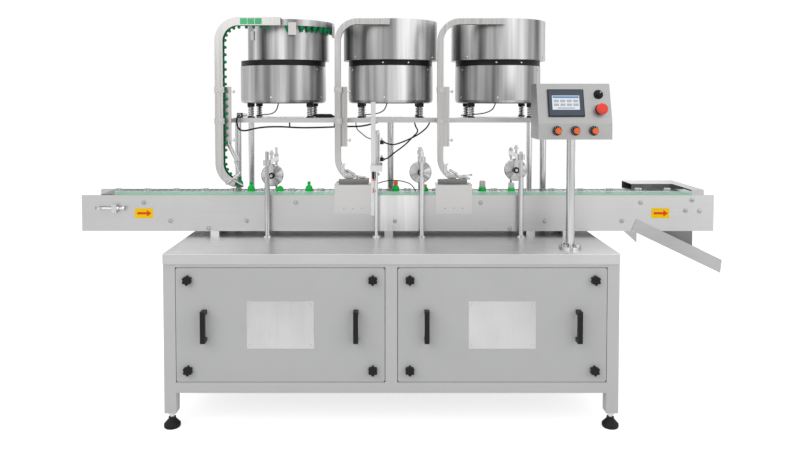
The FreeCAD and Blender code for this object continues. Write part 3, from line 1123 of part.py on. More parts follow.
# name: (offset from the desk's middle, z, stem radius, profile above the face)
SWITCHES = {
    "selector_switch": (88, "(desk_floor + 159)", 8, [("0", "-16"), ("8", "-16"), ("8", "0.3"),
                                                      ("13", "0.3"), ("13", "5"), ("10", "6"),
                                      ("9", "17"), ("0", "17")]),
    "stop_button": (92, "(desk_floor + 103)", 8, [("0", "-16"), ("8", "-16"), ("8", "10"), ("12", "10"),
                                                  ("20", "19"), ("20", "24"),
                                  ("15", "29"), ("0", "30")]),
}
SPEED_PROFILE = [("0", "-15"), ("5", "-15"), ("5", "0.3"), ("15", "0.3"), ("17", "3"), ("11", "5"),
                 ("10.5", "28"),
                 ("9", "30"), ("0", "30")]


def make_switches():
    """The display, selector, stop button and the three speed knobs."""
    for name, (offset, z, _, profile) in SWITCHES.items():
        node(name, turned(f"{name}_body", profile, f"(desk_x + {offset})", face_depth(z), f"{z}", ON_FACE))
    for n, offset in enumerate(SPEED_KNOBS, start=1):
        node(f"speed_knob_{n}", turned(f"speed_{n}", SPEED_PROFILE, f"(desk_x + {offset})", "desk_front",
                                       SPEED_KNOB_Z, ON_FRONT))
    bezel = doc.addObject("Part::Box", "bezel")
    bezel.Length, bezel.Width, bezel.Height = 128, 100, 6
    tilt = math.radians(FACE_TILT)
    low = f"(desk_floor + 128 - {50 * math.cos(tilt):.4f})"
    place(bezel, "(desk_x - 94)", face_depth(low), low, ON_FACE)
    node("display_panel", bezel)


make_cabinet_frame()
make_table_top()
make_cabinet_sheets()
make_levelling_feet()
make_front_panels()
make_panel_knobs()
make_conveyor_plates()
make_crossmembers()
make_slat_chain()
make_shaft("drive_shaft", D.drive_x)
make_shaft("tail_shaft", TAIL_X)
make_guide_strip()
make_gear_motor()
make_drive_cover()
make_discharge()
make_station_covers()
make_press_stands()
make_press_heads()
make_press_wheels()
make_air_cylinder()
make_feeder_stand()
make_feeder_drums()
make_feeder_bowls()
make_delivery_tracks()
make_cables()
make_control_desk()
make_switches()

doc.recompute()
broken = [thing.Name for thing in doc.Objects if "Invalid" in thing.State or "Error" in thing.State]
if broken:
    raise SystemExit(f"failed objects: {broken}")
os.makedirs("parts", exist_ok=True)
for label, piece in NODES.items():
    if piece.Shape.isNull() or not piece.Shape.isValid() or not piece.Shape.Solids:
        raise SystemExit(f"bad shape: {label}")
for label, piece in NODES.items():
    piece.Shape.exportStep(f"parts/{label}.step")
print(f"{len(NODES)} nodes")
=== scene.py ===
import json
import math

import bpy
from mathutils import Matrix, Vector


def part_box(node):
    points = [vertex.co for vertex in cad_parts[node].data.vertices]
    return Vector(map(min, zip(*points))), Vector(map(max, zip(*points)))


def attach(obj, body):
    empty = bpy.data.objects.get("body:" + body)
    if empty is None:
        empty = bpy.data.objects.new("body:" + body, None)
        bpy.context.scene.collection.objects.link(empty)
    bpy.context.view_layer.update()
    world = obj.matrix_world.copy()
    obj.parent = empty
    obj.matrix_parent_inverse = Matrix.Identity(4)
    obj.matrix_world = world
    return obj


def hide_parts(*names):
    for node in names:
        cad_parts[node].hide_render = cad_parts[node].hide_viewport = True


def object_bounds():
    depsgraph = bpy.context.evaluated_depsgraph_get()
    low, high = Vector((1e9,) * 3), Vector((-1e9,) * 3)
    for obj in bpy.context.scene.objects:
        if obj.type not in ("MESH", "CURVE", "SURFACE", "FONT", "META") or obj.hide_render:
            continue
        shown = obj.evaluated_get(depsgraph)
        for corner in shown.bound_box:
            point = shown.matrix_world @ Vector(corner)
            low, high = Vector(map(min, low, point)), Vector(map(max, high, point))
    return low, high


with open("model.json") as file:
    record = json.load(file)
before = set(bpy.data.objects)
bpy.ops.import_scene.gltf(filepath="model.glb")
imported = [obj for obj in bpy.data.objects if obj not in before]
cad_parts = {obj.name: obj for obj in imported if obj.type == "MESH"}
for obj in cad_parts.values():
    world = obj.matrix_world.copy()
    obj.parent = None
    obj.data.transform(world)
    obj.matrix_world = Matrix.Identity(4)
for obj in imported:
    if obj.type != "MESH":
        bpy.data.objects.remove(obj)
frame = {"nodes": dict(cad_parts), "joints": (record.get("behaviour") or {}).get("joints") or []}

CAD_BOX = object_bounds()
RECORD_JOINTS = {joint["name"]: joint for joint in frame["joints"]}
MM = 0.001


def mm(x, y, z):
    """A shift given in millimetres."""
    return Vector((x, y, z)) * MM


# ---------------------------------------------------------------- places

def centre(node):
    low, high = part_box(node)
    return (low + high) / 2


def pivot(joint):
    return Vector(RECORD_JOINTS[joint]["pos_m"])


CORNER = Vector((centre("cabinet_frame").x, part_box("table_top")[0].y, 0))


def at(x, depth, z):
    """A place in millimetres from the cabinet's middle, the table's front edge and the floor."""
    return CORNER + mm(x, depth, z)


STATIONS = (1, 2, 3)
PLATE_FRONT = (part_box("conveyor_front_plate")[0].y - CORNER.y) / MM + 1.5
PLATE_BACK = (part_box("conveyor_rear_plate")[1].y - CORNER.y) / MM
PLATE_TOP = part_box("conveyor_front_plate")[1].z / MM
CHAIN_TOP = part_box("slat_chain")[1].z / MM
NEST_DEPTH = (centre("chain_nests").y - CORNER.y) / MM
SHELF_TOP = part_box("feeder_shelf")[1].z / MM
SHELF_EDGE = (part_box("feeder_shelf")[0].y - CORNER.y) / MM
SHELF_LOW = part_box("feeder_shelf")[0].z / MM
BOWL_DEPTH = (pivot("bowl_2_vibrate").y - CORNER.y) / MM
BOWL_FLOOR = pivot("bowl_2_vibrate").z / MM
FEEDER_X = [(pivot(f"bowl_{n}_vibrate").x - CORNER.x) / MM for n in STATIONS]
FEEDER_PITCH = FEEDER_X[1] - FEEDER_X[0]
CYLINDER_X, CYLINDER_FLOOR = -58, 904
BOWL_RADIUS, DRUM_RADIUS, COLLAR_RADIUS, FIRST_OUTLET_RADIUS = 205, 185, 183, 201
FIRST_BOWL_X = (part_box("feeder_bowl_1")[1].x - CORNER.x) / MM - FIRST_OUTLET_RADIUS
PANEL_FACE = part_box("cabinet_frame")[0].y
OUT_OF_FACE = -Vector(RECORD_JOINTS["stop_press"]["axis"])


# ---------------------------------------------------------------- camera, light and room

EYE = Vector((-0.0545, -2.837, 1.172))
TILT = math.radians(2.0)
LENS = 31.1
SHIFT = (0.015, -0.1305)
ROOM_SIZE = 24


def set_camera():
    data = bpy.data.cameras.new("camera")
    data.sensor_width = 36.0
    data.lens = LENS
    data.shift_x, data.shift_y = SHIFT
    data.clip_end = 60.0
    camera = bpy.data.objects.new("camera", data)
    camera.location = EYE
    camera.rotation_euler = (math.radians(90) - TILT, 0, 0)
    bpy.context.scene.collection.objects.link(camera)
    bpy.context.scene.camera = camera


def add_lamp(name, place, target, size, power):
    data = bpy.data.lights.new(name, "AREA")
    data.shape = "RECTANGLE"
    data.size, data.size_y = size
    data.energy = power
    lamp = bpy.data.objects.new(name, data)
    lamp.location = place
    lamp.rotation_euler = (Vector(target) - Vector(place)).to_track_quat("-Z", "Y").to_euler()
    bpy.context.scene.collection.objects.link(lamp)


def straight_view(tree):
    """Socket that is 1 for camera, glossy and transmission rays."""
    path = tree.nodes.new("ShaderNodeLightPath")
    total = path.outputs["Is Camera Ray"]
    for name in ("Is Glossy Ray", "Is Transmission Ray"):
        highest = tree.nodes.new("ShaderNodeMath")
        highest.operation = "MAXIMUM"
        tree.links.new(total, highest.inputs[0])
        tree.links.new(path.outputs[name], highest.inputs[1])
        total = highest.outputs[0]
    return total


def set_world():
    world = bpy.data.worlds.new("studio")
    bpy.context.scene.world = world
    world.use_nodes = True
    tree = world.node_tree
    tree.nodes.clear()
    out = tree.nodes.new("ShaderNodeOutputWorld")
    mix = tree.nodes.new("ShaderNodeMixShader")
    soft = tree.nodes.new("ShaderNodeBackground")
    white = tree.nodes.new("ShaderNodeBackground")
    soft.inputs["Color"].default_value = (0.97, 0.98, 1.0, 1)
    soft.inputs["Strength"].default_value = 0.45
    white.inputs["Color"].default_value = (1, 1, 1, 1)
    white.inputs["Strength"].default_value = 1.0
    tree.links.new(straight_view(tree), mix.inputs["Fac"])
    tree.links.new(soft.outputs[0], mix.inputs[1])
    tree.links.new(white.outputs[0], mix.inputs[2])
    tree.links.new(mix.outputs[0], out.inputs["Surface"])


def set_floor():
    bpy.ops.mesh.primitive_plane_add(size=ROOM_SIZE, location=(0, 0, CAD_BOX[0].z))
    floor = bpy.context.object
    floor.name = "floor"
    material = bpy.data.materials.new("studio_floor")
    material.use_nodes = True
    tree = material.node_tree
    shader = tree.nodes["Principled BSDF"]
    shader.inputs["Base Color"].default_value = (0.62, 0.62, 0.62, 1)
    shader.inputs["Roughness"].default_value = 0.9
    glow = tree.nodes.new("ShaderNodeEmission")
    glow.inputs["Strength"].default_value = 0.72
    add = tree.nodes.new("ShaderNodeAddShader")
    mix = tree.nodes.new("ShaderNodeMixShader")
    tree.links.new(shader.outputs[0], add.inputs[0])
    tree.links.new(glow.outputs[0], add.inputs[1])
    tree.links.new(straight_view(tree), mix.inputs["Fac"])
    tree.links.new(shader.outputs[0], mix.inputs[1])
    tree.links.new(add.outputs[0], mix.inputs[2])
    tree.links.new(mix.outputs[0], tree.nodes["Material Output"].inputs["Surface"])
    floor.data.materials.append(material)


def set_room():
    bpy.context.scene.view_settings.view_transform = "Standard"
    set_world()
    set_floor()
    add_lamp("key", (-2.6, -3.4, 3.4), (0, 0, 0.8), (4.8, 3.6), 86)
    add_lamp("fill", (3.2, -3.0, 2.4), (0, 0, 0.8), (4.8, 3.6), 54)
    add_lamp("top", (0, 0.2, 4.2), (0, 0, 0.6), (5.0, 3.4), 50)
    add_lamp("back", (0.5, 3.6, 2.6), (0, 0, 0.9), (4.2, 2.6), 34)


# ---------------------------------------------------------------- shared material effects

def new_group(name, inputs, outputs):
    """Node group with the named float, colour or vector sockets."""
    tree = bpy.data.node_groups.new(name, "ShaderNodeTree")
    for label, kind, value in inputs:
        socket = tree.interface.new_socket(label, in_out="INPUT", socket_type="NodeSocket" + kind)
        socket.default_value = value
    for label, kind in outputs:
        tree.interface.new_socket(label, in_out="OUTPUT", socket_type="NodeSocket" + kind)
    return tree, tree.nodes.new("NodeGroupInput"), tree.nodes.new("NodeGroupOutput")


def fill(tree, socket, value):
    """Give a socket a link or a plain value."""
    if isinstance(value, bpy.types.NodeSocket):
        tree.links.new(value, socket)
    else:
        socket.default_value = value


def math_node(tree, operation, *values):
    node = tree.nodes.new("ShaderNodeMath")
    node.operation = operation
    for socket, value in zip(node.inputs, values):
        fill(tree, socket, value)
    return node.outputs[0]


def vector_node(tree, operation, *values):
    node = tree.nodes.new("ShaderNodeVectorMath")
    node.operation = operation
    for socket, value in zip(node.inputs, values):
        fill(tree, socket, value)
    return node.outputs["Value" if operation == "DOT_PRODUCT" else "Vector"]


def noise_node(tree, vector, scale, detail, roughness=0.5):
    node = tree.nodes.new("ShaderNodeTexNoise")
    fill(tree, node.inputs["Scale"], scale)
    node.inputs["Detail"].default_value = detail
    node.inputs["Roughness"].default_value = roughness
    tree.links.new(vector, node.inputs["Vector"])
    return node.outputs["Fac"]


def spread(tree, value, low, high):
    """value, from 0.3 to 0.7 as noise gives it, spread over low to high."""
    node = tree.nodes.new("ShaderNodeMapRange")
    node.inputs["From Min"].default_value = 0.3
    node.inputs["From Max"].default_value = 0.7
    fill(tree, node.inputs["To Min"], low)
    fill(tree, node.inputs["To Max"], high)
    tree.links.new(value, node.inputs["Value"])
    return node.outputs["Result"]


def around_one(tree, value, amount):
    """value spread evenly below and above 1 by amount."""
    return spread(tree, value, math_node(tree, "SUBTRACT", 1.0, amount),
                  math_node(tree, "ADD", 1.0, amount))


def tint(tree, colour, shade):
    node = tree.nodes.new("ShaderNodeVectorMath")
    node.operation = "SCALE"
    tree.links.new(colour, node.inputs[0])
    tree.links.new(shade, node.inputs["Scale"])
    return node.outputs["Vector"]


def object_place(tree):
    return tree.nodes.new("ShaderNodeTexCoord").outputs["Object"]


def combined(tree, **parts):
    """Vector with the given parts, and 0 for the rest."""
    node = tree.nodes.new("ShaderNodeCombineXYZ")
    for axis, value in parts.items():
        tree.links.new(value, node.inputs[axis])
    return node.outputs[0]


def put_out(tree, given, out, shade, rough, height):
    """Give out the given colour shaded, the given roughness varied, and a height."""
    tree.links.new(tint(tree, given.outputs["Colour"], shade), out.inputs["Colour"])
    tree.links.new(math_node(tree, "MULTIPLY", given.outputs["Roughness"], rough),
                   out.inputs["Roughness"])
    tree.links.new(height, out.inputs["Height"])
    return tree


FINISH_OUTPUTS = [("Colour", "Color"), ("Roughness", "Float"), ("Height", "Float")]
PALE = (0.7, 0.7, 0.7, 1)
RINGS_PER_METRE = 1400.0


def make_grain_group():
    """Brushed metal: fine lines stretched by the Stretch vector, broad shading and soft smudges."""
    tree, given, out = new_group(
        "brushed_grain",
        [("Colour", "Color", PALE), ("Stretch", "Vector", (1, 1, 1)),
         ("Lines", "Float", 0.06), ("Clouds", "Float", 0.05), ("Roughness", "Float", 0.3)],
        FINISH_OUTPUTS)
    place = object_place(tree)
    stretched = vector_node(tree, "MULTIPLY", place, given.outputs["Stretch"])
    lines = noise_node(tree, stretched, 1.0, 3.0, 0.65)
    clouds = noise_node(tree, place, 2.4, 3.0)
    smudges = noise_node(tree, place, 21.0, 4.0, 0.6)
    shade = math_node(tree, "MULTIPLY", around_one(tree, lines, given.outputs["Lines"]),
                      around_one(tree, clouds, given.outputs["Clouds"]))
    rough = math_node(tree, "MULTIPLY", spread(tree, lines, 0.8, 1.25),
                      spread(tree, smudges, 0.94, 1.07))
    return put_out(tree, given, out, shade, rough, lines)


def make_rolled_group():
    """Sheet rolled round an upright axis, repeated every Pitch along X: grain streaks run up it,
    and broad light and dark streaks painted as reflections.
    """
    tree, given, out = new_group(
        "rolled_grain_and_painted_reflections",
        [("Colour", "Color", PALE), ("Axis", "Vector", (0, 0, 0)), ("Pitch", "Float", 10.0),
         ("Contrast", "Float", 0.4), ("Seed", "Float", 0.0), ("Roughness", "Float", 0.25)],
        FINISH_OUTPUTS)
    centred = vector_node(tree, "SUBTRACT", object_place(tree), given.outputs["Axis"])
    parts = tree.nodes.new("ShaderNodeSeparateXYZ")
    tree.links.new(centred, parts.inputs[0])
    half = math_node(tree, "MULTIPLY", given.outputs["Pitch"], 0.5)
    back = math_node(tree, "MULTIPLY", given.outputs["Pitch"], -0.5)
    across = math_node(tree, "WRAP", parts.outputs["X"], half, back)
    which = math_node(tree, "ROUND",
                      math_node(tree, "DIVIDE", parts.outputs["X"], given.outputs["Pitch"]))
    unit = vector_node(tree, "NORMALIZE", combined(tree, X=across, Y=parts.outputs["Y"]))
    shift = math_node(tree, "ADD", math_node(tree, "MULTIPLY", which, 3.7), given.outputs["Seed"])
    rise = math_node(tree, "ADD", math_node(tree, "MULTIPLY", parts.outputs["Z"], 0.16), shift)
    drift = vector_node(tree, "ADD", unit, combined(tree, Z=rise))
    # broad streaks: painted reflections, light and dark bands up the sheet
    broad = noise_node(tree, drift, 2.4, 2.0, 0.5)
    fine = noise_node(tree, drift, 13.0, 2.0, 0.55)
    contrast = given.outputs["Contrast"]
    shade = math_node(tree, "MULTIPLY",
                      spread(tree, broad, math_node(tree, "SUBTRACT", 1.0, contrast),
                             math_node(tree, "ADD", 1.0,
                                       math_node(tree, "MULTIPLY", contrast, 1.3))),
                      around_one(tree, fine, math_node(tree, "MULTIPLY", contrast, 0.2)))
    return put_out(tree, given, out, shade, spread(tree, fine, 0.9, 1.12), fine)


def make_faced_group():
    """Disc faced on a lathe: fine rings round Axis, and light and dark sectors painted as
    reflections.
    """
    tree, given, out = new_group(
        "faced_disc_with_painted_reflections",
        [("Colour", "Color", PALE), ("Axis", "Vector", (0, 0, 0)), ("Contrast", "Float", 0.4),
         ("Roughness", "Float", 0.25)],
        FINISH_OUTPUTS)
    flat = vector_node(tree, "MULTIPLY",
                       vector_node(tree, "SUBTRACT", object_place(tree), given.outputs["Axis"]),
                       (1, 0, 1))
    radius = tree.nodes.new("ShaderNodeVectorMath")
    radius.operation = "LENGTH"
    tree.links.new(flat, radius.inputs[0])
    around = combined(tree, X=math_node(tree, "MULTIPLY", radius.outputs["Value"], RINGS_PER_METRE))
    # sectors: painted reflections, light and dark round the axis
    sectors = noise_node(tree, vector_node(tree, "NORMALIZE", flat), 1.9, 2.0, 0.5)
    rings = noise_node(tree, around, 1.0, 2.0, 0.6)
    shade = math_node(tree, "MULTIPLY", around_one(tree, sectors, given.outputs["Contrast"]),
                      around_one(tree, rings, 0.12))
    return put_out(tree, given, out, shade, spread(tree, rings, 0.8, 1.25), rings)


def make_speckle_group():
    """Moulded, painted or cast surface: a fine texture and a faint unevenness of colour."""
    tree, given, out = new_group(
        "speckled",
        [("Colour", "Color", PALE), ("Size", "Float", 300.0),
         ("Unevenness", "Float", 0.04), ("Roughness", "Float", 0.4)],
        FINISH_OUTPUTS)
    place = object_place(tree)
    speck = noise_node(tree, place, given.outputs["Size"], 2.0)
    smudge = noise_node(tree, place, 5.0, 4.0, 0.6)
    shade = around_one(tree, smudge, given.outputs["Unevenness"])
    return put_out(tree, given, out, shade, spread(tree, smudge, 0.85, 1.15), speck)


def make_past_plane_group():
    """Mask that is 1 where the place measured along Axis is past Limit."""
    tree, given, out = new_group("past_plane",
                                 [("Axis", "Vector", (0, 0, 1)), ("Limit", "Float", 0.0)],
                                 [("Mask", "Float")])
    along = vector_node(tree, "DOT_PRODUCT", object_place(tree), given.outputs["Axis"])
    tree.links.new(math_node(tree, "GREATER_THAN", along, given.outputs["Limit"]),
                   out.inputs["Mask"])
    return tree


GRAIN = make_grain_group()
ROLLED = make_rolled_group()
FACED = make_faced_group()
SPECKLE = make_speckle_group()
PAST_PLANE = make_past_plane_group()
ALONG = (3, 900, 900)
UPRIGHT = (700, 700, 4)
ACROSS = (60, 900, 900)
ROUND = (220, 220, 220)
POST = (105, 105, 1.4)


# ---------------------------------------------------------------- finishes

def grey(level, warm=0.0):
    return (level * (1 + warm), level, level * (1 - warm), 1)


def brushed(level, stretch, lines=0.06, clouds=0.05, roughness=0.3, warm=0.0):
    """Brushed metal as (group, values, metallic)."""
    return GRAIN, {"Colour": grey(level, warm), "Stretch": stretch, "Lines": lines,
                   "Clouds": clouds, "Roughness": roughness}, 1.0


def rolled(level, axis, contrast=0.6, pitch=10.0, seed=0.0, roughness=0.24):
    return ROLLED, {"Colour": grey(level), "Axis": axis, "Pitch": pitch, "Contrast": contrast,
                    "Seed": seed, "Roughness": roughness}, 1.0


def faced(level, axis, contrast=0.4, roughness=0.26):
    return FACED, {"Colour": grey(level), "Axis": axis, "Contrast": contrast,
                   "Roughness": roughness}, 1.0


def moulded(colour, size=350.0, unevenness=0.05, roughness=0.4, metallic=0.0):
    return SPECKLE, {"Colour": (*colour, 1), "Size": size, "Unevenness": unevenness,
                     "Roughness": roughness}, metallic


FINISHES = {
    "cabinet_paint": moulded((0.575, 0.575, 0.57), 500, 0.02, 0.42),
    "panel_paint": moulded((0.56, 0.56, 0.56), 500, 0.02, 0.45),
    # painted light and shade: one steel, its top lighter as lit and its front lip darker as shaded
    "table_top_painted_light": brushed(0.66, (2, 160, 160), 0.03, 0.07, 0.32),
    "table_lip": brushed(0.46, ALONG, 0.05, 0.05, 0.34),
    "plate_steel": brushed(0.46, ALONG, 0.05, 0.05, 0.36),
    "splice_steel": brushed(0.62, (34, 34, 1.4), 0.14, 0.05, 0.30),
    "cover_rail": brushed(0.24, ALONG, 0.10, 0.12, 0.34),
    # painted shade: the chute's far wall, darker as it lies in shadow
    "chute_far_wall_painted_shade": brushed(0.20, ALONG, 0.12, 0.30, 0.34),
    # painted shade: the dark sheet inside the drive cover
    "cover_interior_painted_shade": moulded((0.17, 0.17, 0.165), 160, 0.45, 0.42, 0.5),
    "barrel_alloy": brushed(0.60, UPRIGHT, 0.05, 0.08, 0.26),
    "cover_steel": brushed(0.50, ALONG, 0.04, 0.04, 0.36, 0.012),
    "chute_steel": brushed(0.39, ALONG, 0.06, 0.12, 0.36),
    "desk_steel": brushed(0.35, ALONG, 0.03, 0.05, 0.44, 0.004),
    # strong up-and-down stripes: painted chrome reflections over the grain
    "upright_steel_painted_reflections": brushed(0.50, POST, 0.50, 0.10, 0.18),
    "bolt_steel": brushed(0.38, ROUND, 0.08, 0.10, 0.28),
    "track_steel": brushed(0.43, (150, 150, 2.5), 0.10, 0.10, 0.30, 0.02),
    "bright_steel": brushed(0.52, ROUND, 0.06, 0.06, 0.20),
    "slat_steel": brushed(0.17, ACROSS, 0.25, 0.15, 0.36),
    "cast_alloy": moulded((0.46, 0.455, 0.45), 700, 0.06, 0.36, 1.0),
    "nest_plastic": moulded((0.66, 0.67, 0.65), 500, 0.05, 0.4),
    "black_plastic": moulded((0.012, 0.012, 0.013), 700, 0.10, 0.35),
    # painted shade: black for the dark gap under each bowl
    "collar_painted_shade": moulded((0.010, 0.010, 0.011), 300, 0.20, 0.42),
    "foot_rubber": moulded((0.016, 0.016, 0.016), 900, 0.12, 0.6),
    "cable_rubber": moulded((0.010, 0.010, 0.011), 900, 0.10, 0.42),
    "red_plastic": moulded((0.84, 0.07, 0.05), 300, 0.04, 0.28),
    "orange_plastic": moulded((0.92, 0.17, 0.045), 300, 0.05, 0.30),
    "green_plastic": moulded((0.004, 0.56, 0.075), 260, 0.12, 0.32),
    "dark_green_plastic": moulded((0.004, 0.27, 0.095), 260, 0.18, 0.36),
    "pale_green_plastic": moulded((0.05, 0.44, 0.17), 120, 0.35, 0.36),
    "clear_plastic": moulded((0.72, 0.80, 0.80), 260, 0.04, 0.12),
    "guide_acrylic": moulded((0.46, 0.76, 0.60), 120, 0.06, 0.2),
    "plate_label": brushed(0.49, (30, 30, 2), 0.03, 0.14, 0.55),
    "bezel_grey": moulded((0.075, 0.095, 0.125), 600, 0.05, 0.36),
    "screen_white": moulded((0.80, 0.83, 0.86), 90, 0.01, 0.12),
    "screen_blue": moulded((0.10, 0.25, 0.48), 90, 0.02, 0.14),
    "screen_grey": moulded((0.42, 0.46, 0.50), 90, 0.02, 0.14),
    "mark_white": moulded((0.78, 0.78, 0.76), 400, 0.04, 0.45),
    "arrow_yellow": moulded((0.96, 0.62, 0.004), 400, 0.04, 0.55),
    "arrow_red": moulded((0.86, 0.07, 0.006), 400, 0.04, 0.55),
    "brass": moulded((0.55, 0.36, 0.12), 500, 0.10, 0.30, 1.0),
    "lens_red": moulded((0.85, 0.18, 0.15), 200, 0.10, 0.20),
}
LESS_SHINE = {"Specular IOR Level": 0.16}
SHADER_VALUES = {"guide_acrylic": {"Alpha": 0.55}, "clear_plastic": {"Alpha": 0.42}}
for dull in ("black_plastic", "collar_painted_shade", "foot_rubber", "cable_rubber", "green_plastic",
             "dark_green_plastic", "orange_plastic", "red_plastic", "arrow_yellow", "arrow_red",
             "bezel_grey"):
    SHADER_VALUES[dull] = LESS_SHINE
BUMPS = {"cast_alloy": 0.3, "foot_rubber": 0.2, "upright_steel_painted_reflections": 0.03, "bright_steel": 0.1}
SHINY_BUMP = 0.1
MATERIALS = {}


def new_material(name, bump):
    material = bpy.data.materials.new(name)
    material.use_nodes = True
    tree = material.node_tree
    shader = tree.nodes["Principled BSDF"]
    raised = tree.nodes.new("ShaderNodeBump")
    raised.inputs["Strength"].default_value = bump
    raised.inputs["Distance"].default_value = 0.0004
    tree.links.new(raised.outputs["Normal"], shader.inputs["Normal"])
    return material, tree, shader, raised


def effect_node(tree, group, values):
    effect = tree.nodes.new("ShaderNodeGroup")
    effect.node_tree = group
    for label, value in values.items():
        effect.inputs[label].default_value = value
    return effect


def plain_material(name, finish, bump=SHINY_BUMP, shader_values=()):
    """Material of one finish all over."""
    material, tree, shader, raised = new_material(name, bump)
    group, values, metallic = finish
    effect = effect_node(tree, group, values)
    tree.links.new(effect.outputs["Colour"], shader.inputs["Base Color"])
    tree.links.new(effect.outputs["Roughness"], shader.inputs["Roughness"])
    tree.links.new(effect.outputs["Height"], raised.inputs["Height"])
    shader.inputs["Metallic"].default_value = metallic
    for label, value in dict(shader_values).items():
        shader.inputs[label].default_value = value
    return material


def finish_of(name):
    """The shared material of a named finish."""
    if name not in MATERIALS:
        MATERIALS[name] = plain_material(name, FINISHES[name], BUMPS.get(name, SHINY_BUMP),
                                         SHADER_VALUES.get(name, {}))
    return MATERIALS[name]


# Mix node: its kind, the places of its two ends among its inputs, and of its result
COLOUR_MIX = ("RGBA", 6, 7, 2)
NUMBER_MIX = ("FLOAT", 2, 3, 0)


def zoned_material(name, first, second, planes, bump=SHINY_BUMP):
    """Material of the first finish, and of the second past all the planes, each (axis, limit)."""
    material, tree, shader, raised = new_material(name, bump)
    for label, value in LESS_SHINE.items():
        shader.inputs[label].default_value = value
    mask = None
    for axis, limit in planes:
        past = effect_node(tree, PAST_PLANE, {"Axis": axis, "Limit": limit}).outputs["Mask"]
        mask = past if mask is None else math_node(tree, "MULTIPLY", mask, past)
    near, far = effect_node(tree, *first[:2]), effect_node(tree, *second[:2])
    for label, socket in (("Colour", shader.inputs["Base Color"]),
                          ("Roughness", shader.inputs["Roughness"]),
                          ("Height", raised.inputs["Height"])):
        mix = tree.nodes.new("ShaderNodeMix")
        mix.data_type, start, end, result = COLOUR_MIX if label == "Colour" else NUMBER_MIX
        tree.links.new(mask, mix.inputs["Factor"])
        tree.links.new(near.outputs[label], mix.inputs[start])
        tree.links.new(far.outputs[label], mix.inputs[end])
        tree.links.new(mix.outputs[result], socket)
    metal = math_node(tree, "MULTIPLY_ADD", mask, second[2] - first[2], first[2])
    tree.links.new(metal, shader.inputs["Metallic"])
    return material


# ---------------------------------------------------------------- finishes of the parts

def numbered(name, count=len(STATIONS)):
    return [f"{name}_{number}" for number in range(1, count + 1)]


NODES_BY_FINISH = {
    "cabinet_paint": ["cabinet_frame"],
    "panel_paint": ["cabinet_sheets"],
    "plate_steel": ["conveyor_rear_plate", "feeder_shelf"],
    "slat_steel": ["slat_chain"],
    "nest_plastic": ["chain_nests"],
    "guide_acrylic": ["guide_strip"],
    "chute_steel": ["drive_cover"],
    "cast_alloy": ["gear_motor"],
    "desk_steel": ["control_box"],
    "upright_steel_painted_reflections": ["press_stands", "shelf_posts", "control_post"],
    "bright_steel": ["conveyor_crossmembers", "drive_shaft", "tail_shaft", "piston_rod",
                     "isolator_springs", *numbered("press_head"), *numbered("release_lever")],
    "track_steel": numbered("delivery_track"),
    "black_plastic": ["display_panel", "selector_switch", *numbered("panel_knob", 8)],
    "cable_rubber": ["feeder_cables"],
}


def smooth(piece):
    clear_selection()
    piece.select_set(True)
    bpy.context.view_layer.objects.active = piece
    bpy.ops.object.shade_smooth_by_angle(angle=math.radians(30))


def clear_selection():
    if bpy.context.object and bpy.context.object.mode != "OBJECT":
        leave_edit()
    bpy.ops.object.select_all(action="DESELECT")


def paint(piece, material):
    piece.data.materials.clear()
    piece.data.materials.append(material)


def two_tone(node, name, first, second, *planes, bump=SHINY_BUMP):
    """Paint a node with the first finish, and with the second past the planes."""
    first = FINISHES[first] if isinstance(first, str) else first
    paint(frame["nodes"][node], zoned_material(name, first, FINISHES[second], planes, bump))


TABLE_LIP = 1.5 * MM
SPLICE_LEFT, SPLICE_RIGHT = -43, 110
COVER_RAIL = 16.5 * MM
SPEED_CAP_LENGTH = 12 * MM
FOOT_PAD_TOP = 36 * MM
STOP_HEAD = 24 * MM
FITTING_LEFT, FITTING_FLOOR = -44.3, 905


def paint_sheets():
    """Table, plates, covers, chute and panels."""
    # The table's top is painted lighter as lit, and its lip below is painted darker as shaded.
    two_tone("table_top", "table_painted_light_and_shade", "table_lip", "table_top_painted_light",
             ((0, 0, 1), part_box("table_top")[1].z - TABLE_LIP), bump=0.015)
    two_tone("conveyor_front_plate", "front_plate_finish", "plate_steel", "splice_steel",
             ((1, 0, 0), at(SPLICE_LEFT, 0, 0).x), ((-1, 0, 0), -at(SPLICE_RIGHT, 0, 0).x))
    two_tone("station_covers", "station_cover_finish", "cover_steel", "cover_rail",
             ((0, 0, 1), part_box("station_covers")[1].z - COVER_RAIL))
    # The chute's far side, past the plane, is painted darker as shade.
    two_tone("discharge_chute", "chute_with_painted_shade", "chute_steel", "chute_far_wall_painted_shade",
             ((0, 1, 0), at(0, NEST_DEPTH - 20, 0).y))
    for side in ("left", "right"):
        two_tone(f"front_panel_{side}", f"panel_{side}_paint", "panel_paint", "black_plastic",
                 ((0, -1, 0), -PANEL_FACE + 0.3 * MM))


def paint_feeders():
    """Bowls over their collars painted black as shade, drums and press wheels, each turned about
    its own axis.
    """
    for number in STATIONS:
        axis = pivot(f"bowl_{number}_vibrate")
        # contrast 0.84 paints reflections as broad light and dark streaks on each bowl
        two_tone(f"feeder_bowl_{number}", f"bowl_{number}_steel",
                 rolled(0.30, axis, 0.84, 10.0, 1.3 * number, 0.34), "collar_painted_shade",
                 # below the pivot, the collar is painted black as shade
                 ((0, 0, -1), -axis.z + 0.5 * MM))
        # contrast 0.55 paints reflections as light and dark sectors on each wheel
        wheel = faced(0.46, pivot(f"wheel_{number}_spin"), 0.55)
        paint(frame["nodes"][f"press_wheel_{number}"],
              plain_material(f"wheel_{number}_metal", wheel))
    # contrast 0.74 paints reflections as broad light and dark streaks on the drums
    drums = rolled(0.31, pivot("bowl_2_vibrate"), 0.74, FEEDER_PITCH * MM, 0.4, 0.34)
    paint(frame["nodes"]["feeder_drums"], plain_material("drum_steel", drums))


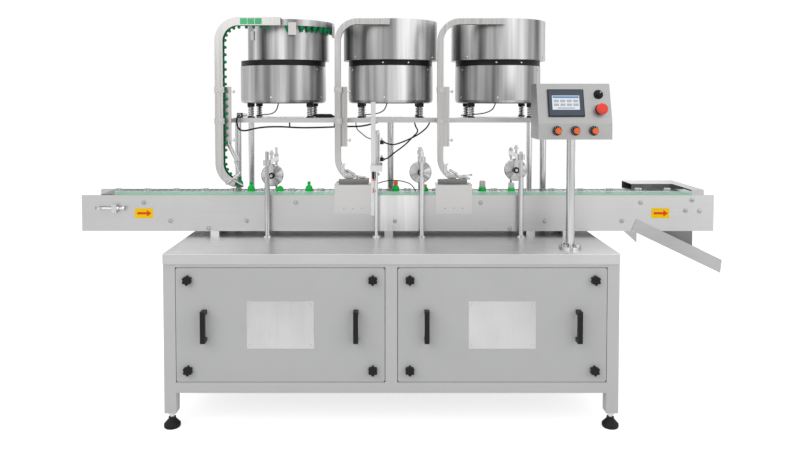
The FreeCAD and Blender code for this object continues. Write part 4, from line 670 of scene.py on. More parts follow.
def paint_controls():
    """Speed knobs, stop button, feet and air cylinder, each of two materials."""
    for number in STATIONS:
        knob = f"speed_knob_{number}"
        two_tone(knob, f"speed_{number}_plastic", "black_plastic", "orange_plastic",
                 ((0, -1, 0), -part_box(knob)[0].y - SPEED_CAP_LENGTH))
    for number in range(1, 5):
        two_tone(f"levelling_foot_{number}", f"foot_{number}_finish", "foot_rubber", "bright_steel",
                 ((0, 0, 1), FOOT_PAD_TOP))
    low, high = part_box("stop_button")
    head = max(OUT_OF_FACE.dot(Vector((0, low.y, z))) for z in (low.z, high.z)) - STOP_HEAD
    two_tone("stop_button", "stop_plastic", "black_plastic", "red_plastic", (OUT_OF_FACE, head))
    fitting = at(FITTING_LEFT, 0, FITTING_FLOOR)
    two_tone("air_cylinder", "cylinder_alloy", "barrel_alloy", "black_plastic",
             ((1, 0, 0), fitting.x), ((0, 0, 1), fitting.z))


def paint_nodes():
    """Finishes of every part, with smooth rounds and sharp edges."""
    for name, nodes in NODES_BY_FINISH.items():
        for node in nodes:
            paint(frame["nodes"][node], finish_of(name))
    paint_sheets()
    paint_feeders()
    paint_controls()
    for piece in frame["nodes"].values():
        smooth(piece)


# ---------------------------------------------------------------- modelling helpers

def select_faces(piece, wanted):
    """Select the faces whose centre and normal pass the test, and go into edit mode."""
    leave_edit()
    mesh = piece.data
    for item in (*mesh.vertices, *mesh.edges):
        item.select = False
    for face in mesh.polygons:
        face.select = wanted(face.center, face.normal)
    bpy.ops.object.mode_set(mode="EDIT")


def extrude(x, y, z):
    """Extrude the selected faces by millimetres."""
    bpy.ops.mesh.extrude_region_move(TRANSFORM_OT_translate={"value": mm(x, y, z)})


def scale_faces(*factors, about=None):
    """Scale the selected faces about their middle, or about a place in millimetres."""
    about = {} if about is None else {"center_override": mm(*about)}
    bpy.ops.transform.resize(value=factors, **about)


def leave_edit():
    bpy.ops.object.mode_set(mode="OBJECT")


def drawn_up(name, steps, sides=28):
    """A closed turned shape about Z, drawn up through (radius, height) rings in millimetres."""
    clear_selection()
    radius, height = steps[0]
    bpy.ops.mesh.primitive_circle_add(vertices=sides, radius=radius * MM, fill_type="NGON",
                                      location=mm(0, 0, height))
    piece = bpy.context.object
    piece.name = name
    bpy.ops.object.transform_apply(location=True, rotation=True, scale=True)
    bpy.ops.object.mode_set(mode="EDIT")
    bpy.ops.mesh.select_all(action="SELECT")
    for wide, high in steps[1:]:
        extrude(0, 0, high - height)
        scale_faces(wide / radius, wide / radius, 1, about=(0, 0, high))
        radius, height = wide, high
    bpy.ops.mesh.select_all(action="SELECT")
    bpy.ops.mesh.normals_make_consistent(inside=False)
    leave_edit()
    smooth(piece)
    return piece


def block(name, low, high, bevel=0.8, segments=2):
    """A block between two corners in metres, with its edges rounded by bevel millimetres."""
    clear_selection()
    low, high = Vector(low), Vector(high)
    bpy.ops.mesh.primitive_cube_add(size=1, location=(low + high) / 2, scale=high - low)
    piece = bpy.context.object
    piece.name = name
    bpy.ops.object.transform_apply(location=True, rotation=True, scale=True)
    bpy.ops.object.mode_set(mode="EDIT")
    bpy.ops.mesh.select_all(action="SELECT")
    bpy.ops.mesh.bevel(offset=bevel * MM, segments=segments, affect="EDGES")
    leave_edit()
    return piece


def centred_block(name, wide, deep, high, bevel=0.8, segments=2):
    """A block round the origin with its base at z = 0, sizes in millimetres."""
    half = Vector((wide, deep, 0)) * MM / 2
    return block(name, -half, half + mm(0, 0, high), bevel, segments)


def joined(name, *pieces):
    clear_selection()
    for piece in pieces:
        piece.select_set(True)
    bpy.context.view_layer.objects.active = pieces[0]
    bpy.ops.object.join()
    pieces[0].name = name
    return pieces[0]


def facing(direction, place=(0, 0, 0), spin=0.0):
    """Placing that turns a model's Z to a direction and moves it to a place."""
    turn = Vector(direction).to_track_quat("Z", "Y").to_matrix().to_4x4()
    return Matrix.Translation(place) @ turn @ Matrix.Rotation(math.radians(spin), 4, "Z")


DOWN, RIGHT, LEFT = (0, 0, -1), (1, 0, 0), (-1, 0, 0)
FRONTWARD = Matrix.Rotation(math.radians(90), 4, "X")


def fronting(place, spin=0.0):
    """Placing on a front face: the model's Z comes forward and its Y stays up."""
    return Matrix.Translation(place) @ FRONTWARD @ Matrix.Rotation(math.radians(spin), 4, "Z")


def backing(place):
    """Placing on a rear face: the model's Z goes backward."""
    return Matrix.Translation(place) @ Matrix.Rotation(math.radians(-90), 4, "X")


def finish(piece, body="machine", material="bright_steel"):
    """Paint a piece, and give it its body."""
    paint(piece, finish_of(material))
    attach(piece, body)
    return piece


def set_down(model, placing, body="machine", material="bright_steel"):
    """Put a single finished model in its place."""
    model.data.transform(placing)
    return finish(model, body, material)


def copies(model, name, placings, body="machine", material="bright_steel"):
    """Copies of a finished model, each with its own mesh, one to a placing."""
    made = []
    for number, placing in enumerate(placings, start=1):
        piece = bpy.data.objects.new(f"{name}_{number}", model.data.copy())
        bpy.context.scene.collection.objects.link(piece)
        piece.data.transform(placing)
        made.append(finish(piece, body, material))
    bpy.data.objects.remove(model)
    return made


# ---------------------------------------------------------------- fasteners and plates

def socket_bolt(name, head=6.0, washer=10.0):
    """A button-head bolt with a round socket, on its washer."""
    return drawn_up(name, [(washer, 0), (washer, 1.4), (head * 1.08, 1.7), (head, 2.4),
                           (head * 0.93, 4.2), (head * 0.7, 5.6), (head * 0.45, 6.0),
                           (head * 0.42, 3.6)], 24)


def small_screw(name, radius=3.5):
    """A low round head with a socket."""
    return drawn_up(name, [(radius, 0), (radius, 0.8), (radius * 0.8, 1.7), (radius * 0.4, 2.1),
                           (radius * 0.36, 1.2)], 16)


PLATE_BOLTS = ((679, (-876, -574, 15, 611, 917)), (752, (-981, -378, 356, 991)), (649, (-725, 473)))
MOTOR_X = 900
COVER_WIDTH = 145
BEARING_BOLTS = ((1195, 762), (1169, 720), (1224, 718))


def add_conveyor_bolts():
    """Washered bolts on both side plates, and round the drive's bearing in front."""
    spots = [(x, z) for z, row in PLATE_BOLTS for x in row] + list(BEARING_BOLTS)
    copies(socket_bolt("plate_bolt"), "front_plate_bolt",
           [fronting(at(x, PLATE_FRONT, z)) for x, z in spots], material="bolt_steel")
    copies(socket_bolt("plate_bolt"), "rear_plate_bolt",
           [backing(at(x, PLATE_BACK, z)) for z, row in PLATE_BOLTS for x in row if x < MOTOR_X],
           material="bolt_steel")


def add_cover_screws():
    """Three screws low on each station cover."""
    low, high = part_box("station_covers")
    half = COVER_WIDTH * MM / 2
    middles = (low.x + half, high.x - half)
    spots = [Vector((x + side * 35 * MM, low.y, low.z + 21 * MM)) for x in middles
             for side in (-1, 0, 1)]
    copies(small_screw("cover_screw", 3.0), "station_cover_screw",
           [fronting(spot) for spot in spots], material="bolt_steel")


def add_nameplates():
    """Bare riveted plates on the two front panels."""
    wide, high, sheet = 237, 169, 1.2
    for side in ("left", "right"):
        low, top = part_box(f"front_panel_{side}")
        middle = Vector(((low.x + top.x) / 2, PANEL_FACE, (low.z + top.z) / 2))
        plate = centred_block(f"nameplate_{side}", wide, high, sheet, 0.4)
        select_faces(plate, lambda spot, normal: normal.z > 0.99)
        bpy.ops.mesh.inset(thickness=3 * MM)
        extrude(0, 0, -0.3)
        leave_edit()
        set_down(plate, fronting(middle), f"panel_{side}", "plate_label")
        rivet = drawn_up("rivet", [(4, 0), (4, 0.5), (3.3, 1.5), (1.6, 2.1)], 16)
        copies(rivet, f"nameplate_rivet_{side}",
               [fronting(middle + mm(a * 106, -0.8, b * 72)) for a in (-1, 1) for b in (-1, 1)],
               f"panel_{side}")


def add_arrow_labels():
    """Plain travel-direction arrows near both ends of the conveyor."""
    for number, x in enumerate((-981, 1069), start=1):
        spot = at(x, PLATE_FRONT, 710)
        label = centred_block(f"arrow_label_{number}", 72, 40, 0.4, 0.15, 1)
        set_down(label, fronting(spot), material="arrow_yellow")
        arrow = centred_block(f"arrow_{number}", 52, 9, 0.3, 0.1, 1)
        select_faces(arrow, lambda place, normal: normal.x > 0.99)
        bpy.ops.transform.translate(value=mm(-14, 0, 0))
        extrude(0.2, 0, 0)
        scale_faces(1, 3.0, 1)
        extrude(17, 0, 0)
        scale_faces(1, 0.04, 1)
        leave_edit()
        set_down(arrow, fronting(spot + mm(0, -0.4, 0)), material="arrow_red")


# ---------------------------------------------------------------- caps on their way

NEST_PITCH = 118.5
FIRST_NEST = 19.6
BELL = [(14.1, 15.5), (14.1, 0), (16, 0), (16, 4), (15.2, 13), (13.4, 20), (9.5, 25.5), (6, 28.5)]
BALL = [(5.2, 31), (6.6, 34), (7, 37), (6, 41), (3, 43)]
PRESSED_BELL = [(14.1, 12), (14.1, 0), (16, 0), (16, 4), (15.2, 10), (13.4, 15.5), (9.5, 20),
                (6, 22.5), (5.2, 24), (4, 24.5)]


def nozzle(name, low, high):
    """The orange nozzle that is pressed over a cap body's end."""
    return drawn_up(name, [(7.5, high - 1.2), (7.5, low), (9.3, low), (9.3, high - 2.5), (8, high)],
                    24)


def overcap(name, top):
    """A clear overcap, with ribs faceted round it."""
    return drawn_up(name, [(11.8, top - 2.5), (11.8, 15.5), (13.4, 15.5), (12.9, top - 2.5),
                           (11.5, top)], 20)


def on_nest(step):
    """Placing on a nest, counted along the chain from the one nearest the machine's middle."""
    return Matrix.Translation(at(FIRST_NEST + step * NEST_PITCH, NEST_DEPTH, CHAIN_TOP + 0.9))


def add_travelling_caps():
    """Cap bodies on the chain's nests: bare, then with nozzles, then with overcaps."""
    copies(drawn_up("cap_body", BELL + BALL, 24), "travelling_cap",
           [on_nest(step) for step in (-5, -3, -2, -1, 0, 2, 3)], material="green_plastic")
    copies(drawn_up("pressed_cap", PRESSED_BELL, 24), "pressed_cap",
           [on_nest(step) for step in (-4, 1, 4)], material="green_plastic")
    copies(nozzle("cap_nozzle", 28.5, 44.5), "cap_nozzle", [on_nest(step) for step in (0, 2, 3)],
           material="orange_plastic")
    copies(nozzle("loose_nozzle", 38, 57), "loose_nozzle", [on_nest(-1)], material="orange_plastic")
    copies(nozzle("pressed_nozzle", 22.5, 30.5), "pressed_nozzle", [on_nest(1)],
           material="orange_plastic")
    copies(overcap("clear_cap", 45.5), "clear_cap", [on_nest(3)], material="clear_plastic")
    copies(overcap("pressed_overcap", 38.5), "pressed_overcap", [on_nest(4)],
           material="clear_plastic")


TRACK_X, TRACK_TOP, TRACK_BEND, FOOT_BEND, FOOT_MIDDLE = -699, 1478, 80, 85, 901.5
TRACK_DEPTH = NEST_DEPTH + 2
CAP_PITCH = 30.0


def track_place(distance):
    """Place and inward direction in the first channel, so far past the start of its top bend."""
    turn = math.pi / 2 * TRACK_BEND
    run = TRACK_TOP - TRACK_BEND - FOOT_MIDDLE
    if distance < 0:
        return (TRACK_X + TRACK_BEND - distance, TRACK_TOP), (0, -1)
    if distance < turn:
        angle = math.pi / 2 + distance / TRACK_BEND
        middle, radius = (TRACK_X + TRACK_BEND, TRACK_TOP - TRACK_BEND), TRACK_BEND
    elif distance < turn + run:
        return (TRACK_X, TRACK_TOP - TRACK_BEND - (distance - turn)), (1, 0)
    else:
        angle = math.pi + (distance - turn - run) / FOOT_BEND
        middle, radius = (TRACK_X + FOOT_BEND, FOOT_MIDDLE), FOOT_BEND
    c, s = math.cos(angle), math.sin(angle)
    return (middle[0] + radius * c, middle[1] + radius * s), (-c, -s)


def add_queued_caps():
    """Green cap bodies nose inward down the first channel, and at the first bowl's rim."""
    placings = []
    for number in range(-4, 26):
        (x, z), (inward_x, inward_z) = track_place(number * CAP_PITCH)
        inward = Vector((inward_x, 0, inward_z))
        placings.append(facing(inward, at(x, TRACK_DEPTH, z) - inward * 14 * MM))
    slim = [(r * 0.93, z) for r, z in BELL[1:] + BALL]
    copies(drawn_up("queued_cap", [(3, 1)] + slim, 18), "queued_cap", placings,
           material="dark_green_plastic")
    middle = at(FIRST_BOWL_X, BOWL_DEPTH, TRACK_TOP - 13.4)
    teeth = []
    for number in range(10):
        angle = math.radians(-84 + number * 9.2)
        teeth.append(facing(DOWN, middle + 189.5 * mm(math.cos(angle), math.sin(angle), 0)))
    tooth = drawn_up("outlet_cap", [(9, 0), (10.8, 2), (10.4, 9), (8, 14), (5.2, 16.5),
                                    (6.2, 19), (5, 23), (2.5, 24.5)], 18)
    copies(tooth, "outlet_cap", teeth, "bowl_1", "dark_green_plastic")
    windows = [fronting(at(x, TRACK_DEPTH - 18, TRACK_TOP)) for x in (-597, -567, -537)]
    copies(centred_block("shown_cap", 27, 24, 2.2, 1.0, 3), "shown_cap", windows,
           material="pale_green_plastic")


# ---------------------------------------------------------------- feeders

# how far the drums' undersides lie below the bowls' pivots
DRUM_RISE = 183
SPRING_X, SPRING_DEPTH = 126, 96


def add_springs():
    """Twelve coil springs between black cups."""
    low, high = SHELF_TOP, BOWL_FLOOR - DRUM_RISE
    rise, turns, wire, coil = high - low, 7, 2.1, 11.5
    clear_selection()
    bpy.ops.mesh.primitive_circle_add(vertices=8, radius=wire * MM, fill_type="NOTHING",
                                      location=mm(coil, 0, 4), rotation=(math.radians(90), 0, 0))
    spring = bpy.context.object
    spring.name = "coil_spring"
    bpy.ops.object.transform_apply(location=True, rotation=True, scale=True)
    sweep = spring.modifiers.new("coil", "SCREW")
    sweep.angle = 2 * math.pi * turns
    sweep.screw_offset = (rise - 10) * MM
    sweep.steps = sweep.render_steps = 14 * turns
    bpy.ops.object.modifier_apply(modifier="coil")
    bpy.ops.object.mode_set(mode="EDIT")
    bpy.ops.mesh.select_all(action="SELECT")
    bpy.ops.mesh.fill_holes(sides=0)
    bpy.ops.mesh.select_all(action="SELECT")
    bpy.ops.mesh.normals_make_consistent(inside=False)
    leave_edit()
    smooth(spring)
    spots = [at(x + a * SPRING_X, BOWL_DEPTH + b * SPRING_DEPTH, low) for x in FEEDER_X
             for b in (-1, 1)
             for a in (-1, 1)]
    upright = [Matrix.Translation(spot) for spot in spots]
    for spring in copies(spring, "coil_spring", upright):
        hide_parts("isolator_springs")
    seat = [(9, 0), (15.5, 0), (15.5, 3.5), (14.5, 5), (14.2, 5), (14.2, 2), (5, 2)]
    copies(drawn_up("spring_seat", seat, 24), "spring_seat", upright, material="black_plastic")
    cup = [(9, 0), (15.5, 0), (15.5, 13), (14.5, 15), (14.2, 15), (14.2, 3), (5, 3)]
    over = [facing(DOWN, spot + mm(0, 0, rise)) for spot in spots]
    copies(drawn_up("spring_cup", cup, 24), "spring_cup", over, material="black_plastic")


def round_places(x, radius, z, angles):
    """Placings facing out of an upright round wall, at angles from the front, turning right."""
    made = []
    for angle in angles:
        turn = math.radians(angle - 90)
        out = Vector((math.cos(turn), math.sin(turn), 0))
        made.append(facing(out, at(x, BOWL_DEPTH, z) + out * radius * MM))
    return made


def add_feeder_bolts():
    """The small button heads round the drums and bowls."""
    places = []
    for x in FEEDER_X:
        places += round_places(x, DRUM_RADIUS, BOWL_FLOOR - 40, (-62, 58, 150, -150))
        places += round_places(x, DRUM_RADIUS, BOWL_FLOOR - 158, (-64, -8, 66, 170))
    copies(small_screw("drum_bolt", 4.5), "drum_bolt", places)
    for number, x in enumerate(FEEDER_X[1:], start=2):
        copies(small_screw("bowl_bolt", 5.5), f"bowl_{number}_bolt",
               round_places(x, BOWL_RADIUS, BOWL_FLOOR + 12, (-47, 60, 150, -140)),
               f"bowl_{number}")
        copies(small_screw("collar_bolt", 4.0), f"collar_{number}_bolt",
               round_places(x, COLLAR_RADIUS, BOWL_FLOOR - 12, (-10, 24, 120, -110)),
               f"bowl_{number}")


def add_outlet_brackets():
    """The tabs that hold the first bowl's outlet and rim."""
    copies(centred_block("outlet_tab", 33, 52, 3, 1.0), "outlet_tab",
           round_places(FIRST_BOWL_X, 201.5, 1452, (12, 78)), "bowl_1", "cover_steel")
    copies(centred_block("rim_tab", 27, 38, 3, 1.0), "rim_tab",
           round_places(FIRST_BOWL_X, 177.5, 1430, (-51,)), "bowl_1", "cover_steel")


def add_shelf_fittings():
    """The air inlet, the drive controller, and the leads' glands and clips on the shelf."""
    inlet = at(-646, SHELF_EDGE + 22, SHELF_TOP + 0.2)
    body = centred_block("inlet_valve", 24, 20, 20, 2.0, 3)
    set_down(body, Matrix.Translation(inlet + mm(0, 11, 0)), material="black_plastic")
    ring = drawn_up("inlet_ring",
                    [(4.0, 0), (7.5, 0), (7.5, 3), (6.2, 3.4), (6.2, 8), (4.0, 8)], 20)
    set_down(ring, fronting(inlet + mm(0, 1, 9.8)))
    stub = drawn_up("inlet_stub",
                    [(5, 0), (5, 4), (7, 4.2), (7, 12), (5.5, 12.4), (5.5, 19), (3.5, 19)], 20)
    set_down(stub, facing(RIGHT, inlet + mm(12, 11, 11)))
    wedge = centred_block("drive_controller", 66, 40, 15, 1.5, 2)
    select_faces(wedge, lambda spot, normal: normal.x > 0.99)
    bpy.ops.transform.translate(value=mm(16, 0, 0))
    scale_faces(1, 0.5, 0.4, about=(49, 0, 0))
    leave_edit()
    set_down(wedge, Matrix.Translation(at(-290, SHELF_EDGE + 60, SHELF_TOP + 0.2)),
             material="black_plastic")
    gland = [(4.6, 0), (9, 0), (9, 5), (7.5, 5.4), (7.5, 11), (6.5, 12), (4.6, 12)]
    under = [at(x, depth, SHELF_LOW + 15.5)
             for x, depth in ((-150, 555.6), (99, 549.4), (168, 549))]
    copies(drawn_up("shelf_gland", gland, 20), "shelf_gland",
           [facing(DOWN, spot) for spot in under])
    clip = centred_block("lead_clip", 5, 14, 24, 1.0, 2)
    clips = [Matrix.Translation(at(x, SHELF_EDGE + 9, SHELF_LOW - 24.5 + 3)) for x in (-430, -240)]
    copies(clip, "lead_clip", clips, material="black_plastic")


# ---------------------------------------------------------------- delivery tracks

TRACK_EDGES = ((-682.5, 448), (-205, 444), (214, 444))


def wing_screw(name):
    """A clamp screw turned by a flat wing."""
    stem = drawn_up(name, [(2.5, 0), (2.5, 7), (6, 7.3), (6, 12), (4.5, 14), (2, 15)], 16)
    wing = centred_block("wing", 20, 3, 6, 1.2, 2)
    wing.data.transform(Matrix.Translation(mm(0, 0, 9)))
    return joined(name, stem, wing)


def add_track_fittings():
    """Clamp screws beside the channels, and pads on their bands."""
    screws = [facing(RIGHT, at(edge + 26, back - 3, z)) for edge, back in TRACK_EDGES
              for z in (SHELF_TOP + 111, SHELF_TOP - 89)]
    copies(wing_screw("clamp_screw"), "clamp_screw", screws)
    bracket = centred_block("band_bolt_pad", 14, 14, 3, 0.8)
    pads = [fronting(at(edge - 10, NEST_DEPTH + 2 - (21 if edge < -600 else 17) - 0.2,
                        SHELF_TOP + shift))
            for edge, _ in TRACK_EDGES for shift in (118, -10)]
    copies(bracket, "band_bolt_pad", pads)


# (upright's x, height of the foot bend's middle, channel's front face)
FEET = ((-699, FOOT_MIDDLE, NEST_DEPTH - 16), (-217, FOOT_MIDDLE + 17.5, NEST_DEPTH - 12),
        (202, FOOT_MIDDLE + 17.5, NEST_DEPTH - 12))


def blade(name, start, end, depth, width=8.0, sheet=3.5):
    """A flat link between two places given as (x, z), standing in front of a channel."""
    run = Vector((end[0] - start[0], end[1] - start[1]))
    link = centred_block(name, run.length + width, width, sheet, width * 0.35, 3)
    middle = at((start[0] + end[0]) / 2, depth, (start[1] + end[1]) / 2)
    turn = Matrix.Rotation(math.atan2(run.y, run.x), 4, "Z")
    return set_down(link, fronting(middle) @ turn)


def add_gates():
    """The links, jaws and catch at the feet of the channels."""
    x, _, face = FEET[0]
    bar_face = TRACK_EDGES[0][1] - 6
    blade("gate_bracket", (x + 30, 982), (x + 66, 912), bar_face - 0.2, 16, 4)
    blade("gate_link_1", (x + 66, 912), (x + 84, 860), face - 9, 9)
    blade("gate_link_2", (x + 32, 820), (x + 84, 860), face - 5, 10)
    blade("gate_link_3", (x + 53, 838), (x + 97, 812), face - 9, 9)
    pins = [fronting(at(x + a, face - 13, z)) for a, z in ((66, 912), (84, 860), (53, 838))]
    copies(small_screw("gate_pin", 4.2), "gate_pin", pins)
    stem = drawn_up("gate_stem",
                    [(3.2, 0), (3.2, bar_face - face + 9), (2.6, bar_face - face + 12)], 16)
    set_down(stem, fronting(at(x + 66, bar_face, 912)))
    for number, (x, middle, face) in enumerate(FEET[1:], start=2):
        hook = centred_block("channel_hook", 16, 34, 3, 1.2, 3)
        select_faces(hook, lambda spot, normal: normal.y > 0.9)
        extrude(9, 6, 0)
        leave_edit()
        set_down(hook, fronting(at(x + 20, face - 0.2, middle - 42)))
        jaw = centred_block("jaw", 50, 26, 13, 2.0, 3)
        select_faces(jaw, lambda spot, normal: normal.x > 0.9)
        extrude(10, 0, -3)
        scale_faces(1, 0.6, 0.5)
        leave_edit()
        tilt = Matrix.Rotation(math.radians(9), 4, "Y")
        set_down(jaw, Matrix.Translation(at(x + 87, NEST_DEPTH + 2, middle - 81)) @ tilt)
        blade(f"jaw_link_{number}", (x + 40, middle - 46), (x + 64, middle - 60), face - 5, 10)
        blade(f"jaw_arm_{number}", (x + 64, middle - 60), (x + 78, middle - 78), face - 9, 8)
        pins = [fronting(at(x + a, face - 9, middle + b)) for a, b in ((40, -46), (64, -60))]
        copies(small_screw("jaw_pin", 4.0), f"jaw_pin_{number}", pins)
    x, middle, face = FEET[2]
    rod = drawn_up("catch_rod", [(2.2, 0), (2.2, 30), (2.0, 30.5)], 16)
    set_down(rod, facing((1, 0, 0.06), at(x + 88, face - 12, middle - 66)))
    tip = drawn_up("catch_tip", [(2.2, 0), (3.6, 0.4), (3.6, 9), (2.6, 10.5)], 20)
    set_down(tip, facing((1, 0, 0.06), at(x + 118, face - 12, middle - 64.2)), material="brass")


# ---------------------------------------------------------------- station details

def add_cylinder_details():
    """The barrel's grooves and screws, its push-in collars and flow screws, and the cap sensor."""
    low = at(CYLINDER_X, NEST_DEPTH, CYLINDER_FLOOR)
    groove = centred_block("barrel_groove", 2.2, 0.6, 110, 0.2, 1)
    copies(groove, "barrel_groove", [Matrix.Translation(low + mm(x, -13.7, 4))
                                     for x in (-6, 6)], material="black_plastic")
    copies(small_screw("cap_screw", 2.6), "cylinder_cap_screw",
           [Matrix.Translation(low + mm(a * 7, b * 7, 130)) for a in (-1, 1) for b in (-1, 1)])
    collar = drawn_up("push_collar", [(3.4, 0), (5.6, 0), (5.6, 2), (4.6, 4.5), (3.4, 4.5)], 20)
    copies(collar, "push_collar", [facing(RIGHT, at(-30.2, NEST_DEPTH, z)) for z in (916, 986)],
           material="black_plastic")
    valve = drawn_up("flow_screw", [(4.4, 0), (4.4, 4), (3.2, 4.4), (3.2, 9), (2, 10)], 16)
    copies(valve, "flow_screw",
           [Matrix.Translation(at(-37.5, NEST_DEPTH, z)) for z in (924.1, 994.1)])
    sensor = block("cap_sensor", at(-74, 288, 852), at(-66, 303, 880), 1.2, 2)
    finish(sensor, material="black_plastic")
    for number, z in enumerate((843, 797), start=1):
        lens = block(f"sensor_lens_{number}", at(-73, 290, z), at(-66.2, 302, z + 8), 1.0, 2)
        finish(lens, material="lens_red")


def add_cover_shade_sheet():
    """Painted shade: a mottled dark grey sheet, seen between the rear plate and the drive cover's
    roof, standing in for the shaded inside of the cover.
    """
    low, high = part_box("drive_cover")
    shade_sheet = block("cover_shade_sheet",
                  (low.x + 2 * MM, at(0, PLATE_BACK + 1.5, 0).y, at(0, 0, PLATE_TOP - 20).z),
                  (high.x - 3 * MM, at(0, PLATE_BACK + 4, 0).y, high.z - 2.5 * MM), 0.4, 1)
    finish(shade_sheet, material="cover_interior_painted_shade")


def add_wheel_seals():
    """Black seals round the bright axle ends of the press wheels."""
    for number in STATIONS:
        hub = pivot(f"wheel_{number}_spin")
        spot = Vector((hub.x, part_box(f"press_head_{number}")[0].y, hub.z))
        seal = [(7, 0), (12.5, 0), (12.5, 1.4), (11.5, 2.2), (7, 2.2)]
        set_down(drawn_up(f"wheel_seal_{number}", seal, 28), fronting(spot), f"head_{number}",
                 "black_plastic")
        set_down(drawn_up(f"axle_end_{number}", [(6.6, 0), (6.6, 2.0), (5.8, 3), (2, 3.2)], 24),
                 fronting(spot), f"head_{number}")


# ---------------------------------------------------------------- control desk

DISPLAY = centre("display_panel")


def on_desk(place, lift=0.0):
    """Placing on the desk's sloping face, with the model's Z out of it and its Y up it."""
    up = Vector((1, 0, 0)).cross(OUT_OF_FACE) * -1
    turn = Matrix((Vector((1, 0, 0)), up, OUT_OF_FACE)).transposed().to_4x4()
    return Matrix.Translation(Vector(place) + OUT_OF_FACE * lift * MM) @ turn


def add_display():
    """A bezel frame with a plain key screen."""
    face = on_desk(DISPLAY, 3.0)
    frame_plate = centred_block("display_frame", 122, 94, 1.6, 1.0, 3)
    select_faces(frame_plate, lambda spot, normal: normal.z > 0.99)
    bpy.ops.mesh.inset(thickness=6 * MM)
    extrude(0, 0, -0.8)
    leave_edit()
    set_down(frame_plate, face, material="bezel_grey")
    lower = face @ Matrix.Translation(mm(-1, 0.5, 0.8))
    set_down(centred_block("screen", 97, 52, 0.5, 0.2, 1), lower, material="screen_white")
    content = lower @ Matrix.Translation(mm(0, 0, 0.4))
    band = centred_block("screen_band", 92, 7, 0.3, 0.1, 1)
    set_down(band, content @ Matrix.Translation(mm(0, 20, 0)), material="screen_blue")
    keys = [content @ Matrix.Translation(mm(x, y, 0)) for y in (6, -8) for x in (-34, -11, 12, 35)]
    copies(centred_block("screen_key", 18, 9, 0.3, 0.1, 1), "screen_key", keys,
           material="screen_grey")
    foot = centred_block("screen_foot", 60, 3, 0.3, 0.1, 1)
    set_down(foot, content @ Matrix.Translation(mm(0, -20, 0)), material="screen_blue")


def add_switch_details():
    """The selector's grip, mark and ring, and the collar under the stop button."""
    selector = pivot("selector_turn")
    turn = on_desk(selector, 17) @ Matrix.Rotation(math.radians(-45), 4, "Z")
    grip = centred_block("selector_grip", 6, 18, 3.2, 1.2, 3)
    set_down(grip, turn, "selector", "black_plastic")
    mark = centred_block("selector_mark", 2, 7, 0.4, 0.15, 1)
    set_down(mark, turn @ Matrix.Translation(mm(0, 4.5, 3.1)), "selector", "mark_white")
    ring = drawn_up("selector_ring", [(14.2, 0.1), (17, 0.1), (17, 2.2), (16, 3), (14.2, 3)], 32)
    set_down(ring, on_desk(selector), material="black_plastic")
    low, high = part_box("stop_button")
    button = (low + high) / 2
    slide = OUT_OF_FACE.dot(DISPLAY - button) - 3 * MM
    collar = drawn_up("stop_collar", [(9, 0.1), (19, 0.1), (19, 3.6), (18, 4.4), (9, 4.4)], 36)
    set_down(collar, on_desk(button + OUT_OF_FACE * slide), material="black_plastic")


def add_dials():
    """White ticks on the skirts of the three speed knobs."""
    for number in STATIONS:
        hub = pivot(f"speed_{number}_turn")
        tick = centred_block("tick", 0.9, 4.4, 0.5, 0.15, 1)
        tick.data.transform(Matrix.Translation(mm(0, 13.9, 3.9))
                            @ Matrix.Rotation(math.radians(-18), 4, "X"))
        turns = [fronting(hub, 30 * step) for step in range(-5, 6)]
        copies(tick, f"dial_{number}_tick", turns, f"speed_{number}", "mark_white")


# ---------------------------------------------------------------- motor at the back

def add_motor_details():
    """Cooling fins and the fan grille that show at the end of the drive cover."""
    low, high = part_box("gear_motor")
    middle = Vector((low.x, low.y + 56 * MM, high.z - 55 * MM - 3 * MM))
    fin = drawn_up("motor_fin", [(52.2, 0), (54.8, 0), (54.8, 2), (52.2, 2)], 48)
    copies(fin, "motor_fin", [facing(RIGHT, middle + mm(x, 0, 0)) for x in range(40, 96, 8)],
           material="cast_alloy")
    for number, radius in enumerate((40, 30, 20, 10), start=1):
        ring = drawn_up(f"fan_ring_{number}",
                        [(radius, 0), (radius + 3, 0), (radius + 3, 1.2), (radius, 1.2)], 40)
        set_down(ring, facing(LEFT, middle), material="black_plastic")


# ---------------------------------------------------------------- leads and hoses

SHELF_UNDER = SHELF_TOP - 4.8
DRUM_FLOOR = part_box("feeder_drums")[0].z / MM
STAND_FRONT = 306
PLATE_DEPTH = 333


def drive_lead(x):
    """A drive's lead, from its drum's underside to the back of the shelf."""
    steps = [(-16, -52, DRUM_FLOOR - 0.8), (-22, -46, DRUM_FLOOR - 24), (-40, -4, SHELF_TOP + 22),
             (-60, 40, SHELF_TOP + 14), (-82, 86, SHELF_TOP + 10), (-104, 130, SHELF_TOP + 8),
             (-132, 172, SHELF_TOP + 6), (-140, 180, SHELF_TOP + 2.2)]
    return [(x + aside, BOWL_DEPTH + back, z) for aside, back, z in steps]


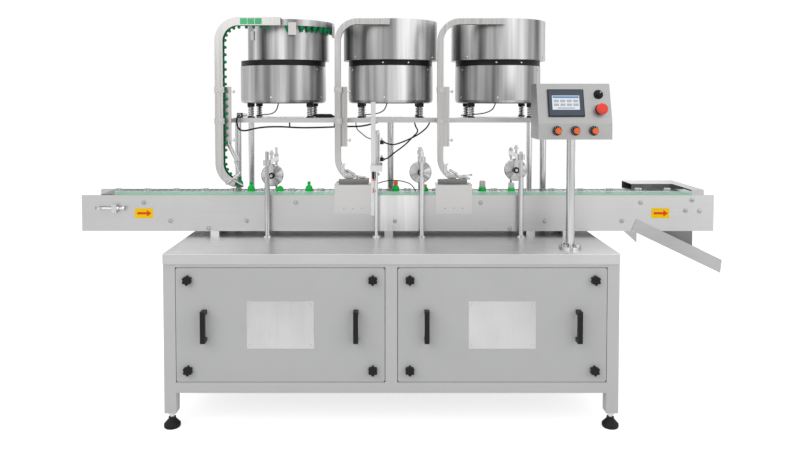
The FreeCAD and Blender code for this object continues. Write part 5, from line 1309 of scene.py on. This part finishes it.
# name: (route in millimetres, diameter, length, stiffness, lay)
LEADS = {
    "supply_lead": ([(-646, SHELF_EDGE + 20, SHELF_TOP + 10),
                     (-646, SHELF_EDGE - 52, SHELF_TOP + 8),
                     (-636, SHELF_EDGE - 44, SHELF_TOP - 61),
                     (-560, SHELF_EDGE + 2, SHELF_TOP - 40),
                     (-470, SHELF_EDGE + 9, SHELF_TOP - 37),
                     (-388, SHELF_EDGE + 7, SHELF_TOP - 43),
                     (-290, SHELF_EDGE + 10, SHELF_TOP - 41),
                     (-195, SHELF_EDGE + 9, SHELF_TOP - 37),
                     (-100, SHELF_EDGE + 13, SHELF_TOP - 37),
                     (-24, SHELF_EDGE + 30, SHELF_UNDER - 2.4)],
                    7, 745, "medium", "hanging"),
    "sensor_lead": ([(-150, SHELF_EDGE + 26, SHELF_UNDER), (-150, SHELF_EDGE + 20, SHELF_TOP - 46),
                     (-125, SHELF_EDGE - 30, SHELF_TOP - 62),
                     (-109, SHELF_EDGE - 60, SHELF_TOP - 74),
                     (-92, NEST_DEPTH + 14, SHELF_TOP - 82),
                     (CYLINDER_X - 14.7, NEST_DEPTH, SHELF_TOP - 86)],
                    4, 189, "medium", "hanging"),
    "lower_hose": ([(99, SHELF_EDGE + 20, SHELF_UNDER), (102, SHELF_EDGE + 14, SHELF_TOP - 34),
                    (118, SHELF_EDGE - 16, SHELF_TOP - 56), (90, SHELF_EDGE - 39, SHELF_TOP - 80),
                    (58, SHELF_EDGE - 62, SHELF_TOP - 112), (9, NEST_DEPTH + 8, SHELF_TOP - 144),
                    (-14, NEST_DEPTH, SHELF_TOP - 164),
                    (CYLINDER_X + 28.5, NEST_DEPTH, CYLINDER_FLOOR + 12)],
                   6, 273, "medium", "hanging"),
    "upper_hose": ([(168, SHELF_EDGE + 20, SHELF_UNDER), (166, SHELF_EDGE + 12, SHELF_TOP - 30),
                    (122, SHELF_EDGE - 36, SHELF_TOP - 66), (64, SHELF_EDGE - 72, SHELF_TOP - 92),
                    (12, NEST_DEPTH + 16, SHELF_TOP - 110), (-14, NEST_DEPTH, SHELF_TOP - 103),
                    (CYLINDER_X + 28.5, NEST_DEPTH, CYLINDER_FLOOR + 82)],
                   6, 275, "medium", "hanging"),
    "cap_sensor_lead": ([(CYLINDER_X + 8, STAND_FRONT, PLATE_TOP + 51),
                         (-22, STAND_FRONT + 6, PLATE_TOP + 60),
                         (14, STAND_FRONT + 16, PLATE_TOP + 61),
                         (50, STAND_FRONT + 24, PLATE_TOP + 56),
                         (88, PLATE_DEPTH + 6, PLATE_TOP + 40),
                         (97, PLATE_DEPTH + 6, PLATE_TOP + 14.6)],
                        4, 172, "stiff", "loose"),
}
for number, x in enumerate(FEEDER_X, start=1):
    LEADS[f"drive_lead_{number}"] = (drive_lead(x), 5, 283, "medium", "loose")


def add_leads():
    """Each cord as a round tube along its route."""
    for name, (route, diameter, length, stiffness, lay) in LEADS.items():
        places = [at(*spot) for spot in route]
        curve = bpy.data.curves.new(name, "CURVE")
        curve.dimensions = "3D"
        curve.bevel_depth = diameter * MM / 2
        curve.bevel_resolution = 3
        curve.use_fill_caps = True
        spline = curve.splines.new("NURBS")
        spline.points.add(len(places) - 1)
        for point, place in zip(spline.points, places):
            point.co = (*place, 1)
        spline.order_u = 3
        spline.use_endpoint_u = True
        spline.resolution_u = 10
        lead = bpy.data.objects.new(name, curve)
        bpy.context.scene.collection.objects.link(lead)
        finish(lead, material="cable_rubber")
        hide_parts("feeder_cables")


set_camera()
set_room()
paint_nodes()
add_conveyor_bolts()
add_cover_screws()
add_nameplates()
add_arrow_labels()
add_travelling_caps()
add_queued_caps()
add_springs()
add_feeder_bolts()
add_outlet_brackets()
add_shelf_fittings()
add_track_fittings()
add_gates()
add_cylinder_details()
add_cover_shade_sheet()
add_wheel_seals()
add_display()
add_switch_details()
add_dials()
add_motor_details()
add_leads()
